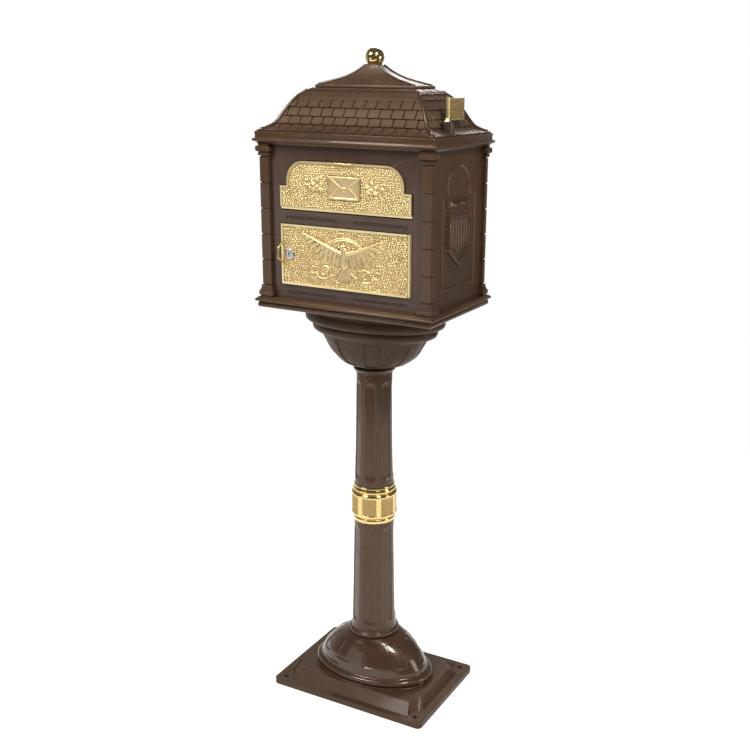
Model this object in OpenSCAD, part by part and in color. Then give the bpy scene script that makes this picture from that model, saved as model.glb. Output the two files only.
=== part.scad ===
// Pedestal mailbox: cast box with a hip roof, two brass doors, a swivel flag and a fluted post.
// Frame: origin on the floor under the post's centre line, front faces -Y, width along X, +Z up.

/* [Base] */
// Overall width of the base plate
base_w = 406; // [360:460]
// Overall depth of the base plate
base_d = 284; // [240:320]
// Thickness of the outer flange
flange_t = 14; // [8:20]
// Spacing of the ground bolts along X
bolt_x = 358; // [300:400]
// Spacing of the ground bolts along Y
bolt_y = 242; // [200:260]
// Radius of each ground bolt hole
bolt_r = 5.5; // [4:8]
// Top of the raised middle of the base plate
plateau_z = 34; // [28:40]

/* [Pedestal] */
// Height of the dome's top, where the lower shaft stands
dome_top = 140; // [120:160]
// Top of the lower shaft
band_z0 = 433; // [400:460]
// Top of the brass band
band_z1 = 523; // [500:540]
// Top of the upper shaft, where the bowl begins
neck_z = 811; // [760:840]
// Bore radius of both shafts
post_bore = 33; // [28:34]
// Number of flutes, and of flat facets on the band
flutes = 7; // [6:10]
// Turn of the first rib from the front
flute_phase = -8; // [-30:30]
// Radius of the concave flute cutter
flute_r = 60; // [40:90]
// Half angle of one flute
flute_half = 18.5; // [12:22]
// Radius of the tie rod
rod_r = 6; // [5:8]

/* [Dome and bowl panels] */
// Number of recessed panels round each oval casting
panels = 10; // [8:12]
// Depth of a panel
panel_depth = 2.6; // [1:4]

/* [Box] */
// Underside of the box's bottom plate
box_z0 = 952; // [900:1000]
// Floor level inside the box
floor_z = 970; // [920:1010]
// Top of the walls
wall_top = 1300; // [1250:1350]
// Half width to the outer faces of the corner pilasters
corner_x = 209.5; // [190:220]
// Half depth to the outer faces of the corner pilasters
corner_y = 133; // [120:140]
// Width of each pilaster
pil_w = 25; // [20:34]
// Depth of each pilaster
pil_d = 14.5; // [12:20]
// Front face of the front panel, as a distance from the middle
front_y = 124; // [115:128]
// Thickness of the front panel
panel_t = 5; // [4:8]
// Outer face of the side panels
side_x = 202; // [190:206]
// Number of stacked blocks in each pilaster
blocks = 5; // [3:7]
// Chamfer on each pilaster's outer corner
pil_chamfer = 2.5; // [1:8]

/* [Doors] */
// Half width of both doors
door_hw = 159; // [140:165]
// Bottom edge of the mail door
mail_z0 = 1164.4; // [1150:1180]
// Level of the mail door's shoulders
shoulder_z = 1215; // [1200:1230]
// Step in of each shoulder
shoulder_in = 17; // [10:25]
// Radius of the mail door's upper corners
corner_r = 42; // [20:60]
// Top edge of the mail door
mail_z1 = 1268.5; // [1250:1280]
// Bottom edge of the locking door
lock_z0 = 1002.5; // [990:1010]
// Top edge of the locking door
lock_z1 = 1133.5; // [1120:1145]
// Gap round each door
door_gap = 1.5; // [1:3]
// Thickness of the door plates
door_t = 4; // [3:6]
// Width of the raised rim
rim_w = 4.5; // [3:8]
// Height of the raised rim
rim_h = 3.2; // [1:4]
// Radius of the hinge barrels
barrel_r = 4; // [3:5]
// Radius of the hinge pins
pin_r = 1.5; // [1:2]
// Running clearance on the hinge pins
pin_fit = 0.05; // [0.01:0.01:0.1]

/* [Lock and handle] */
// Lock centre along X
lock_x = -138; // [-150:-120]
// Lock centre height
lock_cz = 1069; // [1050:1090]
// Radius of the lock's bezel
bezel_r = 11.5; // [9:14]
// Length of the cam from the lock's centre
cam_len = 29; // [24:36]
// Bottom of the pull handle
pull_z0 = 1047; // [1040:1055]
// Top of the pull handle
pull_z1 = 1096; // [1085:1105]
// Stand off of the pull handle
pull_out = 20; // [16:28]

/* [Roof] */
// Top of the eave, where the roof starts
eave_top = 1326; // [1310:1340]
// Half width the roof's profile is measured from
roof_hx = 217; // [200:225]
// Half depth the roof's profile is measured from
roof_hy = 140; // [125:150]
// Underside of the cap slab
cap_z = 1416.6; // [1400:1430]
// Radius of the hip ribs
rib_r = 5.2; // [3:7]
// Radius of the ball
ball_r = 20; // [15:26]
// Height of the ball's centre
ball_z = 1480; // [1470:1490]

/* [Flag] */
// Flag pivot along X
flag_x = 193; // [185:200]
// Flag pivot along Y
flag_y = -40; // [-60:20]
// Radius of the flag boss
boss_r = 13.5; // [10:16]
// Top of the flag boss
boss_top = 1355; // [1350:1360]
// Length of the flag plate
flag_len = 73; // [60:90]
// Bottom of the flag plate
flag_z0 = 1357; // [1356:1365]
// Height of the flag plate
flag_h = 44; // [35:55]
// Radius of the flag's staff
staff_r = 4; // [3:5]

/* [Hidden] */
e = 0.01;
bronze = [0.33, 0.27, 0.23];
dark = [0.29, 0.23, 0.21];
gold = [0.86, 0.74, 0.48];
steel = [0.78, 0.79, 0.8];
zinc = [0.6, 0.6, 0.6];
hinge_y = -(front_y - panel_t / 2);
mail_hinge_z = mail_z0 + barrel_r;
lock_hinge_x = door_hw - barrel_r;
plate_y = -(front_y + 2);
seg = 360 / panels;
// Angles round an oval: [angle from the front, 1 where a panel is sunk]
ring_angles = [for (k = [0:panels - 1]) for (o = [
  [-0.241, 0], [0, 0], [0.241, 0], [0.259, 1], [0.5, 1], [0.741, 1]])
  [seg * (k + o[0]), o[1]]];
// Levels of the dome: [half width, half depth, height, 1 where panels are sunk], outside up, inside down
dome_levels = concat(
  [[157, 99, plateau_z, 0], [157, 99, plateau_z + 3.5, 0], [146, 92, plateau_z + 4, 0]],
  [for (t = [-60:30:60]) [145.5 + 8 * cos(t), 92 + 8 * cos(t), 46 + 8 * sin(t), 0]],
  [[144, 91, 54.5, 0], [140, 89.5, 57, 0], [138.5, 89, 64, 0], [135, 88.5, 72, 0],
   [131, 87, 80, 0], [130.5, 86.7, 81, 1], [125, 83.6, 90, 1], [117.5, 79.5, 99, 1],
   [108, 75, 109, 1], [97, 70.5, 118, 1], [85.5, 66.4, 125.6, 1], [84, 66, 126.5, 0],
   [72, 63, 133, 0], [61, 60, 138, 0], [58, 58, dome_top, 0], [8, 8, dome_top, 0],
   [8, 8, 128, 0], [60, 52, 125, 0], [90, 62, 111, 0], [112, 72, 92, 0],
   [124, 79, 70, 0], [136, 83, 50, 0], [146, 89, plateau_z, 0]]);
// Levels of the bowl, in the same form
bowl_levels = concat(
  [[44, 44, neck_z, 0], [50, 50, neck_z + 1.5, 0], [63, 55.5, 814.4, 0], [74, 60, 817, 0],
   [80, 63, 820, 0], [81.5, 63.8, 821, 1], [92, 68, 828, 1], [103.5, 72.8, 838, 1],
   [111, 76, 847.5, 1], [117, 79, 858, 1], [125.6, 83.6, 872, 1], [129, 85.8, 878, 1],
   [129.6, 86.2, 879, 0], [132, 87.6, 881.6, 0], [139, 91.5, 884.4, 0], [147, 95.5, 887, 0],
   [151, 97.8, 890, 0], [152.6, 99, 894, 0], [152.6, 99, 900, 0], [151, 98, 903.6, 0],
   [150, 97.4, 905, 0], [160, 104, 907.4, 0], [167, 108.6, 910, 0], [169.6, 110.6, 913.4, 0],
   [170, 111, 918, 0], [170, 111, 926, 0], [168.6, 110, 929, 0], [168, 110, 931, 0],
   [168, 110, box_z0, 0], [150, 94, box_z0, 0], [142, 87, 925, 0], [136, 84, 900, 0],
   [118, 75, 878, 0], [102, 66, 852, 0], [86, 58, 837, 0], [58, 45, 824, 0], [8, 8, 821, 0],
   [8, 8, neck_z, 0]]);
// Outer radius of each shaft against height
lower_prof = [[163, 52.8], [212, 51.3], [266, 50], [319, 49.2], [372, 48], [433, 47]];
upper_prof = [[523, 46], [576, 44.6], [626, 43.2], [724, 41.8], [786, 40.8]];
// Inset of the roof's surface at each height
hip = [[1326, 3], [1328.5, 13], [1332, 22], [1335, 27.5], [1342, 34.4], [1350, 39], [1358, 43.6],
  [1366, 47.6], [1378, 54.6], [1386, 59.8], [1394, 66.6], [1403, 74], [1411, 82.6], [1416.6, 92]];
// Bottom of each course of shingles, and the plain frieze above
courses = [1326, 1341, 1358, 1376, 1395];
lap = 1.7;

// A closed band of levels swept round the oval, so the hollow and the bore come with it
module oval_casting(levels) {
  n = len(ring_angles);
  m = len(levels);
  pts = [for (l = levels) for (a = ring_angles)
    let (s = l[3] * a[1] * panel_depth)
    [(l[0] - s) * sin(a[0]), -(l[1] - s) * cos(a[0]), l[2]]];
  tris = [for (i = [0:m - 1]) for (j = [0:n - 1])
    let (i2 = (i + 1) % m, j2 = (j + 1) % n)
    for (f = [[i * n + j, i2 * n + j, i2 * n + j2], [i * n + j, i2 * n + j2, i * n + j2]]) f];
  polyhedron(points = pts, faces = tris);
}

// A block with sloped sides between two rectangles given as half sizes
module frustum(x0, y0, x1, y1, z0, z1) {
  polyhedron(
    points = [[-x0, -y0, z0], [x0, -y0, z0], [x0, y0, z0], [-x0, y0, z0],
      [-x1, -y1, z1], [x1, -y1, z1], [x1, y1, z1], [-x1, y1, z1]],
    faces = [[0, 1, 2, 3], [7, 6, 5, 4], [0, 4, 5, 1], [1, 5, 6, 2], [2, 6, 7, 3], [3, 7, 4, 0]]);
}

// A centred slab given as half sizes and two levels
module slab(hx, hy, z0, z1) {
  translate([-hx, -hy, z0]) cube([2 * hx, 2 * hy, z1 - z0]);
}

// A box between two corners
module span(a, b) {
  translate(a) cube([b[0] - a[0], b[1] - a[1], b[2] - a[2]]);
}

module four(x, y) {
  for (sx = [-1, 1]) for (sy = [-1, 1]) translate([sx * x, sy * y, 0]) children();
}

module rounded_plate(w, d, r, t) {
  slab(w / 2 - r, d / 2, 0, t);
  slab(w / 2, d / 2 - r, 0, t);
  four(w / 2 - r, d / 2 - r) cylinder(r = r, h = t, $fn = 48);
}

// The slightly hollow slope that cuts each corner of the base down to its bolt hole
module corner_scoop() intersection() {
  slab(300, 300, flange_t, 60);
  translate([196.3, 124.2, 35.8]) rotate([0, 50.3, -113.1])
    cylinder(r = 40, h = 160, center = true, $fn = 96);
}

module base_plate() color(bronze) difference() {
  union() {
    rounded_plate(base_w, base_d, 12, flange_t);
    frustum(185, 128, 172, 101, flange_t - 1, plateau_z);
  }
  four(bolt_x / 2, bolt_y / 2) translate([0, 0, -1]) cylinder(r = bolt_r, h = 30, $fn = 48);
  for (sx = [0, 1]) for (sy = [0, 1]) mirror([sx, 0, 0]) mirror([0, sy, 0]) corner_scoop();
  // Hollow underside, with a middle boss for the tie rod and two webs
  difference() {
    frustum(156, 102, 150, 84, -1, plateau_z - 8);
    translate([0, 0, 16]) cylinder(r = 34, h = 30, $fn = 64);
    span([-160, -4, 2], [160, 4, 40]);
    span([-4, -110, 2], [4, 110, 40]);
    span([-90, -110, 2], [-82, 110, 40]);
    span([82, -110, 2], [90, 110, 40]);
  }
  translate([0, 0, -1]) cylinder(r = 22, h = 17, $fn = 64);
  cylinder(r = rod_r + 1, h = 60, $fn = 48);
}

module base_dome() color(bronze) oval_casting(dome_levels);

module bowl() color(bronze) oval_casting(bowl_levels);

// One round-ended flute cutter between two heights, following the taper
module flute_cut(z0, r0, z1, r1) {
  d0 = r0 * cos(flute_half) + sqrt(flute_r * flute_r - pow(r0 * sin(flute_half), 2));
  d1 = r1 * cos(flute_half) + sqrt(flute_r * flute_r - pow(r1 * sin(flute_half), 2));
  l = sqrt(pow(z1 - z0, 2) + pow(d1 - d0, 2));
  translate([0, -d0, z0]) rotate([atan2(d1 - d0, z1 - z0) * -1, 0, 0]) {
    cylinder(r = flute_r, h = l, $fn = 96);
    sphere(r = flute_r, $fn = 96);
    translate([0, 0, l]) sphere(r = flute_r, $fn = 96);
  }
}

module flute_ring(z0, r0, z1, r1) {
  for (k = [0:flutes - 1]) rotate([0, 0, flute_phase + (k + 0.5) * 360 / flutes])
    flute_cut(z0, r0, z1, r1);
}

module lower_post() color(bronze) difference() {
  rotate_extrude($fn = 128) polygon(concat(
    [[post_bore, dome_top], [56, dome_top], [58.5, 141], [59.8, 143], [59.8, 147],
     [58.5, 149], [56, 150], [54.6, 151], [53.6, 155]],
    [for (p = lower_prof) [p[1], p[0]]],
    [[post_bore, band_z0]]));
  flute_ring(194, 51.8, 396, 47.6);
}

module upper_post() color(bronze) difference() {
  rotate_extrude($fn = 128) polygon(concat(
    [[post_bore, band_z1]],
    [for (p = upper_prof) [p[1], p[0]]],
    [[41.4, 796], [43.6, 798.4], [46.4, 800.2], [48, 802.6], [48, 806], [46.6, 808],
     [42.4, 808.4], [42.4, neck_z], [post_bore, neck_z]]));
  flute_ring(563, 45, 752, 41);
}

module post_band() color(gold) difference() {
  rotate_extrude($fn = 128) polygon([[post_bore, band_z0], [47.4, band_z0], [49.2, 436],
    [49.6, 440], [49.2, 444], [47.8, 446], [52.2, 447], [53.5, 449], [53.5, 503], [52.2, 505],
    [47.8, 506], [50.2, 508], [50.8, 512], [50.2, 516], [48.6, 518], [48.4, band_z1],
    [post_bore, band_z1]]);
  for (k = [0:flutes - 1]) rotate([0, 0, flute_phase - 2 + (k + 0.5) * 360 / flutes]) difference() {
    translate([0, 0, 452]) linear_extrude(48) polygon([[0, 0], [-26.4, -70], [26.4, -70]]);
    translate([0, 0, 451]) cylinder(r = 51.8, h = 50, $fn = 128);
  }
}

module band_sleeve() color(zinc) difference() {
  translate([0, 0, 403]) cylinder(r = post_bore, h = 150, $fn = 96);
  translate([0, 0, 402]) cylinder(r = post_bore - 5, h = 152, $fn = 96);
}

module post_spigots() color(zinc) for (z = [dome_top, neck_z - 12]) difference() {
  translate([0, 0, z]) cylinder(r = post_bore, h = 12, $fn = 96);
  translate([0, 0, z - 1]) cylinder(r = 9, h = 14, $fn = 48);
}

module tie_rod() color(zinc) translate([0, 0, 2]) cylinder(r = rod_r, h = 982, $fn = 48);

module hex_nut(af, h, r) {
  difference() {
    rotate([0, 0, 30]) linear_extrude(h) circle(r = af / sqrt(3), $fn = 6);
    translate([0, 0, -1]) cylinder(r = r, h = h + 2, $fn = 48);
  }
}

module tie_nuts() color(zinc) {
  translate([0, 0, 3]) hex_nut(19, 10, rod_r);
  translate([0, 0, floor_z + 3]) hex_nut(19, 10, rod_r);
}

module tie_washers() color(zinc) for (z = [13, floor_z]) difference() {
  translate([0, 0, z]) cylinder(r = 18, h = 3, $fn = 64);
  translate([0, 0, z - 1]) cylinder(r = rod_r, h = 5, $fn = 48);
}

module box_bottom() color(bronze) difference() {
  union() {
    slab(212.5, 142.3, 947, 948.2);
    slab(214.6, 144.4, 948.2, 957);
    slab(213.4, 143.2, 957, 958.8);
    slab(211.5, 141.2, 958.8, 960.4);
    slab(218, 148, 960.4, 961.6);
    slab(219.5, 149.5, 961.6, 965.4);
    slab(218.6, 148.3, 965.4, 966.6);
    slab(217.2, 146.4, 966.6, 967.8);
    slab(215.8, 144, 967.8, 969);
    slab(214.3, 141.5, 969, floor_z);
  }
  slab(205, 134, 946, box_z0);
  translate([0, 0, box_z0 - 1]) cylinder(r = rod_r + 1, h = 30, $fn = 48);
  four(197, 126) translate([0, 0, box_z0 - 1]) cylinder(r = 3, h = 30, $fn = 32);
}

module corner_bolts() color(zinc) four(197, 126) translate([0, 0, box_z0]) {
  cylinder(r = 3, h = 34, $fn = 32);
  translate([0, 0, -3]) cylinder(r = 5.5, h = 3, $fn = 32);
}

// Plan of the front right pilaster grown by s, with its outer corner cut at 45 degrees
module pilaster_plan(s) {
  x = corner_x + s;
  y = corner_y + s;
  polygon([[corner_x - pil_w - s, -y], [x - pil_chamfer, -y], [x, -y + pil_chamfer],
    [x, -corner_y + pil_d + s], [corner_x - pil_w - s, -corner_y + pil_d + s]]);
}

module pilaster_step(z0, z1, s) {
  translate([0, 0, z0]) linear_extrude(z1 - z0) pilaster_plan(s);
}

// The front right corner: a moulded foot, a block-jointed shaft and a stepped head
module pilaster() {
  step = (1274.5 - 997) / blocks;
  difference() {
    union() {
      pilaster_step(floor_z, wall_top, 0);
      for (s = [[floor_z, 973, 3.6], [973, 974.6, 5.4], [974.6, 982.4, 6.5], [982.4, 984, 5.2],
                [984, 988, 3.6], [988, 995.7, 2.2], [1275.8, 1282.4, 2.2], [1282.4, 1284, 0.8],
                [1284, 1285.4, 4.4], [1285.4, 1294.6, 6.4], [1294.6, 1295.8, 5.2],
                [1295.8, wall_top, 2]])
        pilaster_step(s[0], s[1], s[2]);
    }
    span([0, -front_y, 900], [corner_x - pil_w, 0, 1400]);
    span([0, -corner_y + pil_d, 900], [side_x, 0, 1400]);
    for (k = [0:blocks]) difference() {
      pilaster_step(997 + k * step - 1.3, 997 + k * step + 1.3, 5);
      pilaster_step(990, 1280, -2);
    }
    translate([197, -126, floor_z - 1]) cylinder(r = 3, h = 20, $fn = 32);
  }
}

module pilaster_front_right() color(bronze) pilaster();

module pilaster_front_left() color(bronze) mirror([1, 0, 0]) pilaster();

module pilaster_rear_right() color(bronze) mirror([0, 1, 0]) pilaster();

module pilaster_rear_left() color(bronze) mirror([1, 0, 0]) mirror([0, 1, 0]) pilaster();

// Outline of the mail door in X and Z, grown by o
module mail_outline(o) {
  translate([-door_hw - o, mail_z0 - o]) square([2 * (door_hw + o), shoulder_z - mail_z0 + 2 * o]);
  hx = door_hw - shoulder_in;
  translate([-hx - o, mail_z0]) square([2 * (hx + o), mail_z1 - corner_r - mail_z0]);
  translate([-hx + corner_r, mail_z0]) square([2 * (hx - corner_r), mail_z1 - mail_z0 + o]);
  for (s = [-1, 1]) translate([s * (hx - corner_r), mail_z1 - corner_r])
    circle(r = corner_r + o, $fn = 128);
}

module lock_outline(o) {
  translate([-door_hw - o, lock_z0 - o]) square([2 * (door_hw + o), lock_z1 - lock_z0 + 2 * o]);
}

// Extrudes an X and Z outline from y = -a back to y = -b
module facing(a, b) {
  translate([0, -b, 0]) rotate([90, 0, 0]) linear_extrude(a - b) children();
}

module stadium(l, h) {
  square([l - h, h], center = true);
  for (s = [-1, 1]) translate([s * (l - h) / 2, 0]) circle(r = h / 2, $fn = 48);
}

module front_panel() color(dark) {
  difference() {
    span([-corner_x + pil_w, -front_y, floor_z], [corner_x - pil_w, -front_y + panel_t, wall_top]);
    facing(front_y + 1, front_y - panel_t - 1) mail_outline(door_gap);
    facing(front_y + 1, front_y - panel_t - 1) lock_outline(door_gap);
    for (s = [-1, 1]) for (z = [985, 1148]) facing(front_y + 1, front_y - 1.4)
      translate([s * 85, z]) stadium(127, 5.6);
    for (s = [-1, 1]) translate([s * 164, hinge_y, mail_hinge_z]) rotate([0, 90, 0])
      cylinder(r = pin_r, h = 8, center = true, $fn = 32);
    for (z = [lock_z0 - 5, lock_z1 + 5]) translate([lock_hinge_x, hinge_y, z])
      cylinder(r = pin_r, h = 8, center = true, $fn = 32);
  }
  for (s = [-1, 1]) for (z = [985, 1148]) facing(front_y, front_y - 1.4)
    translate([s * 85, z]) stadium(124, 1.9);
}

module rear_panel() color(bronze) {
  span([-corner_x + pil_w, front_y - panel_t, floor_z], [corner_x - pil_w, front_y, wall_top]);
}

// Shouldered arch in Y and Z, grown by o
module arch_outline(o) {
  translate([-79 - o, 1010 - o]) square([2 * (79 + o), 198 + 2 * o]);
  translate([-57 - o, 1010]) square([2 * (57 + o), 203]);
  translate([0, 1213]) circle(r = 57 + o, $fn = 128);
}

function shield_pts(g) = [[-40 - g, 1193 + g], [-22, 1187 + g], [0, 1191 + g], [22, 1187 + g],
  [40 + g, 1193 + g], [48 + g, 1172], [50.5 + g, 1130], [50.5 + g, 1096 - g / 2], [0, 1060 - g * 1.3],
  [-50.5 - g, 1096 - g / 2], [-50.5 - g, 1130], [-48 - g, 1172]];

// A beaded arch round a shield with raised bars under a band
module side_relief() {
  difference() {
    linear_extrude(3.6) arch_outline(0);
    translate([0, 0, -1]) linear_extrude(6) arch_outline(-5);
  }
  difference() {
    linear_extrude(7.5) polygon(shield_pts(3));
    translate([0, 0, 4]) linear_extrude(4) polygon(shield_pts(-1));
  }
  translate([0, 1160, 1]) span([-45, 0, 0], [45, 3, 4.6]);
  for (k = [-3:3]) span([k * 12.6 - 3.4, 1088 + abs(k) * 5.4, 1], [k * 12.6 + 3.4, 1158, 6.2]);
}

module side_panel() {
  span([side_x - panel_t, -corner_y + pil_d, floor_z], [side_x, corner_y - pil_d, wall_top]);
  translate([side_x, 0, 0]) rotate([90, 0, 90]) side_relief();
}

module right_panel() color(bronze) side_panel();

module left_panel() color(bronze) mirror([1, 0, 0]) side_panel();

// A sheet behind the mail door that lets mail slide back and drop into the locked space
module mail_shelf() color(zinc) {
  hx = corner_x - 14.5;
  translate([-hx, 0, 0]) rotate([90, 0, 90]) linear_extrude(2 * hx)
    polygon([[-115, 1156], [-115, 1158], [55, 1140], [55, 1120], [53, 1120], [53, 1138.2]]);
  for (s = [-1, 1]) translate([s * (hx + side_x - panel_t) / 2, 0, 0]) rotate([90, 0, 90])
    linear_extrude(side_x - panel_t - hx, center = true)
    polygon([[-100, 1154.4], [-100, 1156.4], [55, 1140], [55, 1120], [53, 1120], [-100, 1136]]);
}

module eave() color(bronze) difference() {
  union() {
    slab(211.5, 134.5, wall_top, 1301.6);
    slab(213.4, 136.4, 1301.6, 1303.6);
    slab(215.6, 138.6, 1303.6, 1306.4);
    slab(220, 143, 1306.4, 1311.6);
    slab(215.4, 138.6, 1311.6, eave_top);
  }
  slab(165, 100, wall_top - 1, eave_top + 1);
}

// Half of the roof's profile from a half size w, as [distance, height]
function roof_side(w) = concat(
  [for (c = [0:len(courses) - 2]) for (t = [0, 0.25, 0.5, 0.75, 1])
    let (z = courses[c] + (courses[c + 1] - courses[c]) * t)
    [w - lookup(z, hip) + lap * (1 - t), z]],
  [for (z = [1396, 1403, 1411, cap_z]) [w - lookup(z, hip) - 0.4, z]]);

function inner_side(w) = [for (h = [[1326, 1331], [1334, 1338], [1340, 1345], [1346, 1350], [1354, 1358],
  [1372, 1376], [1382, 1386], [1399, 1403], [1410, 1414]]) [w - lookup(h[1], hip) - 2, h[0]]];

function both(side) = concat(side, [for (i = [len(side) - 1:-1:0]) [-side[i][0], side[i][1]]]);

module hipped(px, py) {
  intersection() {
    rotate([90, 0, 0]) linear_extrude(600, center = true) polygon(both(px));
    rotate([90, 0, 90]) linear_extrude(600, center = true) polygon(both(py));
  }
}

// A round rib along the front right hip
module hip_rib() {
  n = len(hip);
  q = [for (h = hip) [-h[1] * sqrt(2), h[0] + 0.6]];
  sides = 10;
  pts = [for (i = [0:n - 1])
    let (a = q[max(i - 1, 0)], b = q[min(i + 1, n - 1)], l = norm(b - a), t = (b - a) / l)
    for (k = [0:sides - 1])
      let (f = k * 360 / sides, s = rib_r * cos(f), m = rib_r * sin(f),
           c = q[i] + m * [t[1], -t[0]])
      [roof_hx + (c[0] + s) / sqrt(2), -roof_hy - (c[0] - s) / sqrt(2), c[1]]];
  tris = concat(
    [for (i = [0:n - 2]) for (k = [0:sides - 1]) let (k2 = (k + 1) % sides)
      for (f = [[i * sides + k, i * sides + k2, (i + 1) * sides + k2],
                [i * sides + k, (i + 1) * sides + k2, (i + 1) * sides + k]]) f],
    [for (k = [1:sides - 2]) [0, k + 1, k]],
    [for (k = [1:sides - 2]) [(n - 1) * sides, (n - 1) * sides + k, (n - 1) * sides + k + 1]]);
  polyhedron(points = pts, faces = tris);
}

module roof() color(bronze) difference() {
  union() {
    difference() {
      hipped(roof_side(roof_hx), roof_side(roof_hy));
      hipped(concat([[roof_hx - 12, 1320]], inner_side(roof_hx)),
        concat([[roof_hy - 12, 1320]], inner_side(roof_hy)));
    }
    intersection() {
      for (sx = [0, 1]) for (sy = [0, 1]) mirror([sx, 0, 0]) mirror([0, sy, 0]) hip_rib();
      slab(300, 300, eave_top, cap_z);
    }
  }
  translate([flag_x, flag_y, eave_top - 1]) cylinder(r = boss_r, h = 60, $fn = 64);
}

// Half sizes of the cap's concave sweep: [height, half width]
cap_prof = [[1423.3, 116], [1426, 107], [1428, 98.5], [1430, 87], [1437, 65], [1445, 46],
  [1453, 32], [1462, 19], [1466, 14]];

module roof_cap() color(bronze) difference() {
  union() {
    slab(121.5, 45.3, cap_z, 1423.3);
    hipped([for (p = cap_prof) [p[1], p[0]]],
      [for (p = cap_prof) [13 + (p[1] - 13) * 0.26, p[0]]]);
  }
  translate([0, 0, ball_z]) sphere(r = ball_r, $fn = 96);
  translate([0, 0, 1440]) cylinder(r = 4, h = 40, $fn = 48);
}

module finial() color(gold) {
  translate([0, 0, ball_z]) sphere(r = ball_r, $fn = 96);
  translate([0, 0, 1444]) cylinder(r = 4, h = 30, $fn = 48);
}

module flag_boss() color(dark) difference() {
  translate([flag_x, flag_y, 0]) {
    translate([0, 0, eave_top]) cylinder(r = boss_r, h = boss_top - eave_top - 2, $fn = 64);
    translate([0, 0, boss_top - 2]) cylinder(r1 = boss_r, r2 = boss_r - 2, h = 2, $fn = 64);
  }
  translate([flag_x, flag_y, 1331]) cylinder(r = staff_r + 0.06, h = 40, $fn = 48);
  translate([flag_x, flag_y, 1343]) rotate([0, 90, 0]) cylinder(r = 1.5, h = 30, $fn = 32);
}

module flag_screw() color(zinc) translate([flag_x + 3.3, flag_y, 1343]) rotate([0, 90, 0])
  cylinder(r = 1.5, h = boss_r - 3.8, $fn = 32);

module flag() color(gold) translate([flag_x, flag_y, 0]) {
  difference() {
    translate([0, 0, 1332]) cylinder(r = staff_r, h = flag_z0 + flag_h + 2 - 1332, $fn = 48);
    translate([0, 0, 1340.5]) difference() {
      cylinder(r = staff_r + 1, h = 5, $fn = 48);
      translate([0, 0, -1]) cylinder(r = staff_r - 1.2, h = 7, $fn = 48);
    }
  }
  translate([0, 0, boss_top + 0.3]) cylinder(r1 = 8, r2 = staff_r + 0.6, h = 6, $fn = 48);
  span([-1.2, 0, flag_z0], [1.2, flag_len, flag_z0 + flag_h]);
  difference() {
    span([-2.2, 0, flag_z0], [2.2, flag_len, flag_z0 + flag_h]);
    span([-3, 4, flag_z0 + 4], [3, flag_len - 4, flag_z0 + flag_h - 4]);
  }
}

module mail_door() color(gold) difference() {
  union() {
    intersection() {
      facing(-plate_y, -plate_y - door_t) mail_outline(0);
      slab(200, 200, mail_hinge_z, 1400);
    }
    intersection() {
      facing(-plate_y + rim_h, -plate_y - 1) difference() {
        mail_outline(0);
        mail_outline(-rim_w);
      }
      slab(200, 200, mail_hinge_z + 3.5, 1400);
    }
    translate([0, hinge_y, mail_hinge_z]) rotate([0, 90, 0])
      cylinder(r = barrel_r, h = 2 * door_hw, center = true, $fn = 64);
  }
  for (s = [-1, 1]) translate([s * door_hw, hinge_y, mail_hinge_z]) rotate([0, 90, 0])
    cylinder(r = pin_r + pin_fit, h = 22, center = true, $fn = 32);
}

module mail_door_pins() color(steel) for (s = [-1, 1])
  translate([s * (door_hw - 0.5), hinge_y, mail_hinge_z]) rotate([0, 90, 0])
    cylinder(r = pin_r, h = 16, center = true, $fn = 32);

module mail_door_pull() color(gold) translate([0, plate_y - rim_h, mail_z1 - 4.6]) rotate([90, 0, 90])
  linear_extrude(44, center = true)
  polygon([[0, 0], [-2.5, 0.6], [-6, 2.2], [-7, 3.6], [-6.2, 4.6], [-3, 4.5], [0, 4.4]]);

// A plain envelope between two four-petal flowers
module mail_emblem() color(gold) facing(-plate_y + 4.4, -plate_y) {
  difference() {
    translate([-34, 1197]) square([68, 42]);
    translate([-31, 1200]) square([62, 36]);
  }
  difference() {
    union() {
      polygon([[-34, 1239], [-29, 1239], [0, 1219], [29, 1239], [34, 1239], [0, 1214]]);
      polygon([[-32, 1198], [-28, 1198], [-10, 1214], [-12, 1216]]);
      polygon([[32, 1198], [28, 1198], [10, 1214], [12, 1216]]);
    }
    translate([-60, 1239]) square([120, 10]);
  }
  for (s = [-1, 1]) translate([s * 66, 1218]) {
    circle(r = 5, $fn = 48);
    for (a = [45:90:315]) rotate([0, 0, a]) translate([10, 0]) circle(r = 6, $fn = 48);
  }
}

module lock_door() color(gold) difference() {
  union() {
    intersection() {
      facing(-plate_y, -plate_y - door_t) lock_outline(0);
      span([-300, -300, 900], [lock_hinge_x, 300, 1200]);
    }
    intersection() {
      facing(-plate_y + rim_h, -plate_y - 1) difference() {
        lock_outline(0);
        lock_outline(-rim_w);
      }
      span([-300, -300, 900], [lock_hinge_x - 4.6, 300, 1200]);
    }
    translate([lock_hinge_x, hinge_y, lock_z0])
      cylinder(r = barrel_r, h = lock_z1 - lock_z0, $fn = 64);
  }
  for (z = [lock_z0, lock_z1]) translate([lock_hinge_x, hinge_y, z])
    cylinder(r = pin_r + pin_fit, h = 22, center = true, $fn = 32);
  translate([lock_x, -150, lock_cz]) rotate([-90, 0, 0]) cylinder(r = 9.5, h = 60, $fn = 64);
}

module lock_door_pins() color(steel)
  for (z = [lock_z0 + 0.5, lock_z1 - 0.5]) translate([lock_hinge_x, hinge_y, z])
    cylinder(r = pin_r, h = 16, center = true, $fn = 32);

function wing_pts() = [[4, 1078], [16, 1086], [30, 1089], [48, 1097], [66, 1107], [88, 1116],
  [107, 1120], [99, 1108], [97, 1100], [90, 1091], [84, 1082], [75, 1074], [66, 1067], [54, 1062],
  [44, 1058], [34, 1056], [22, 1055], [10, 1054], [4, 1056]];

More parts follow.
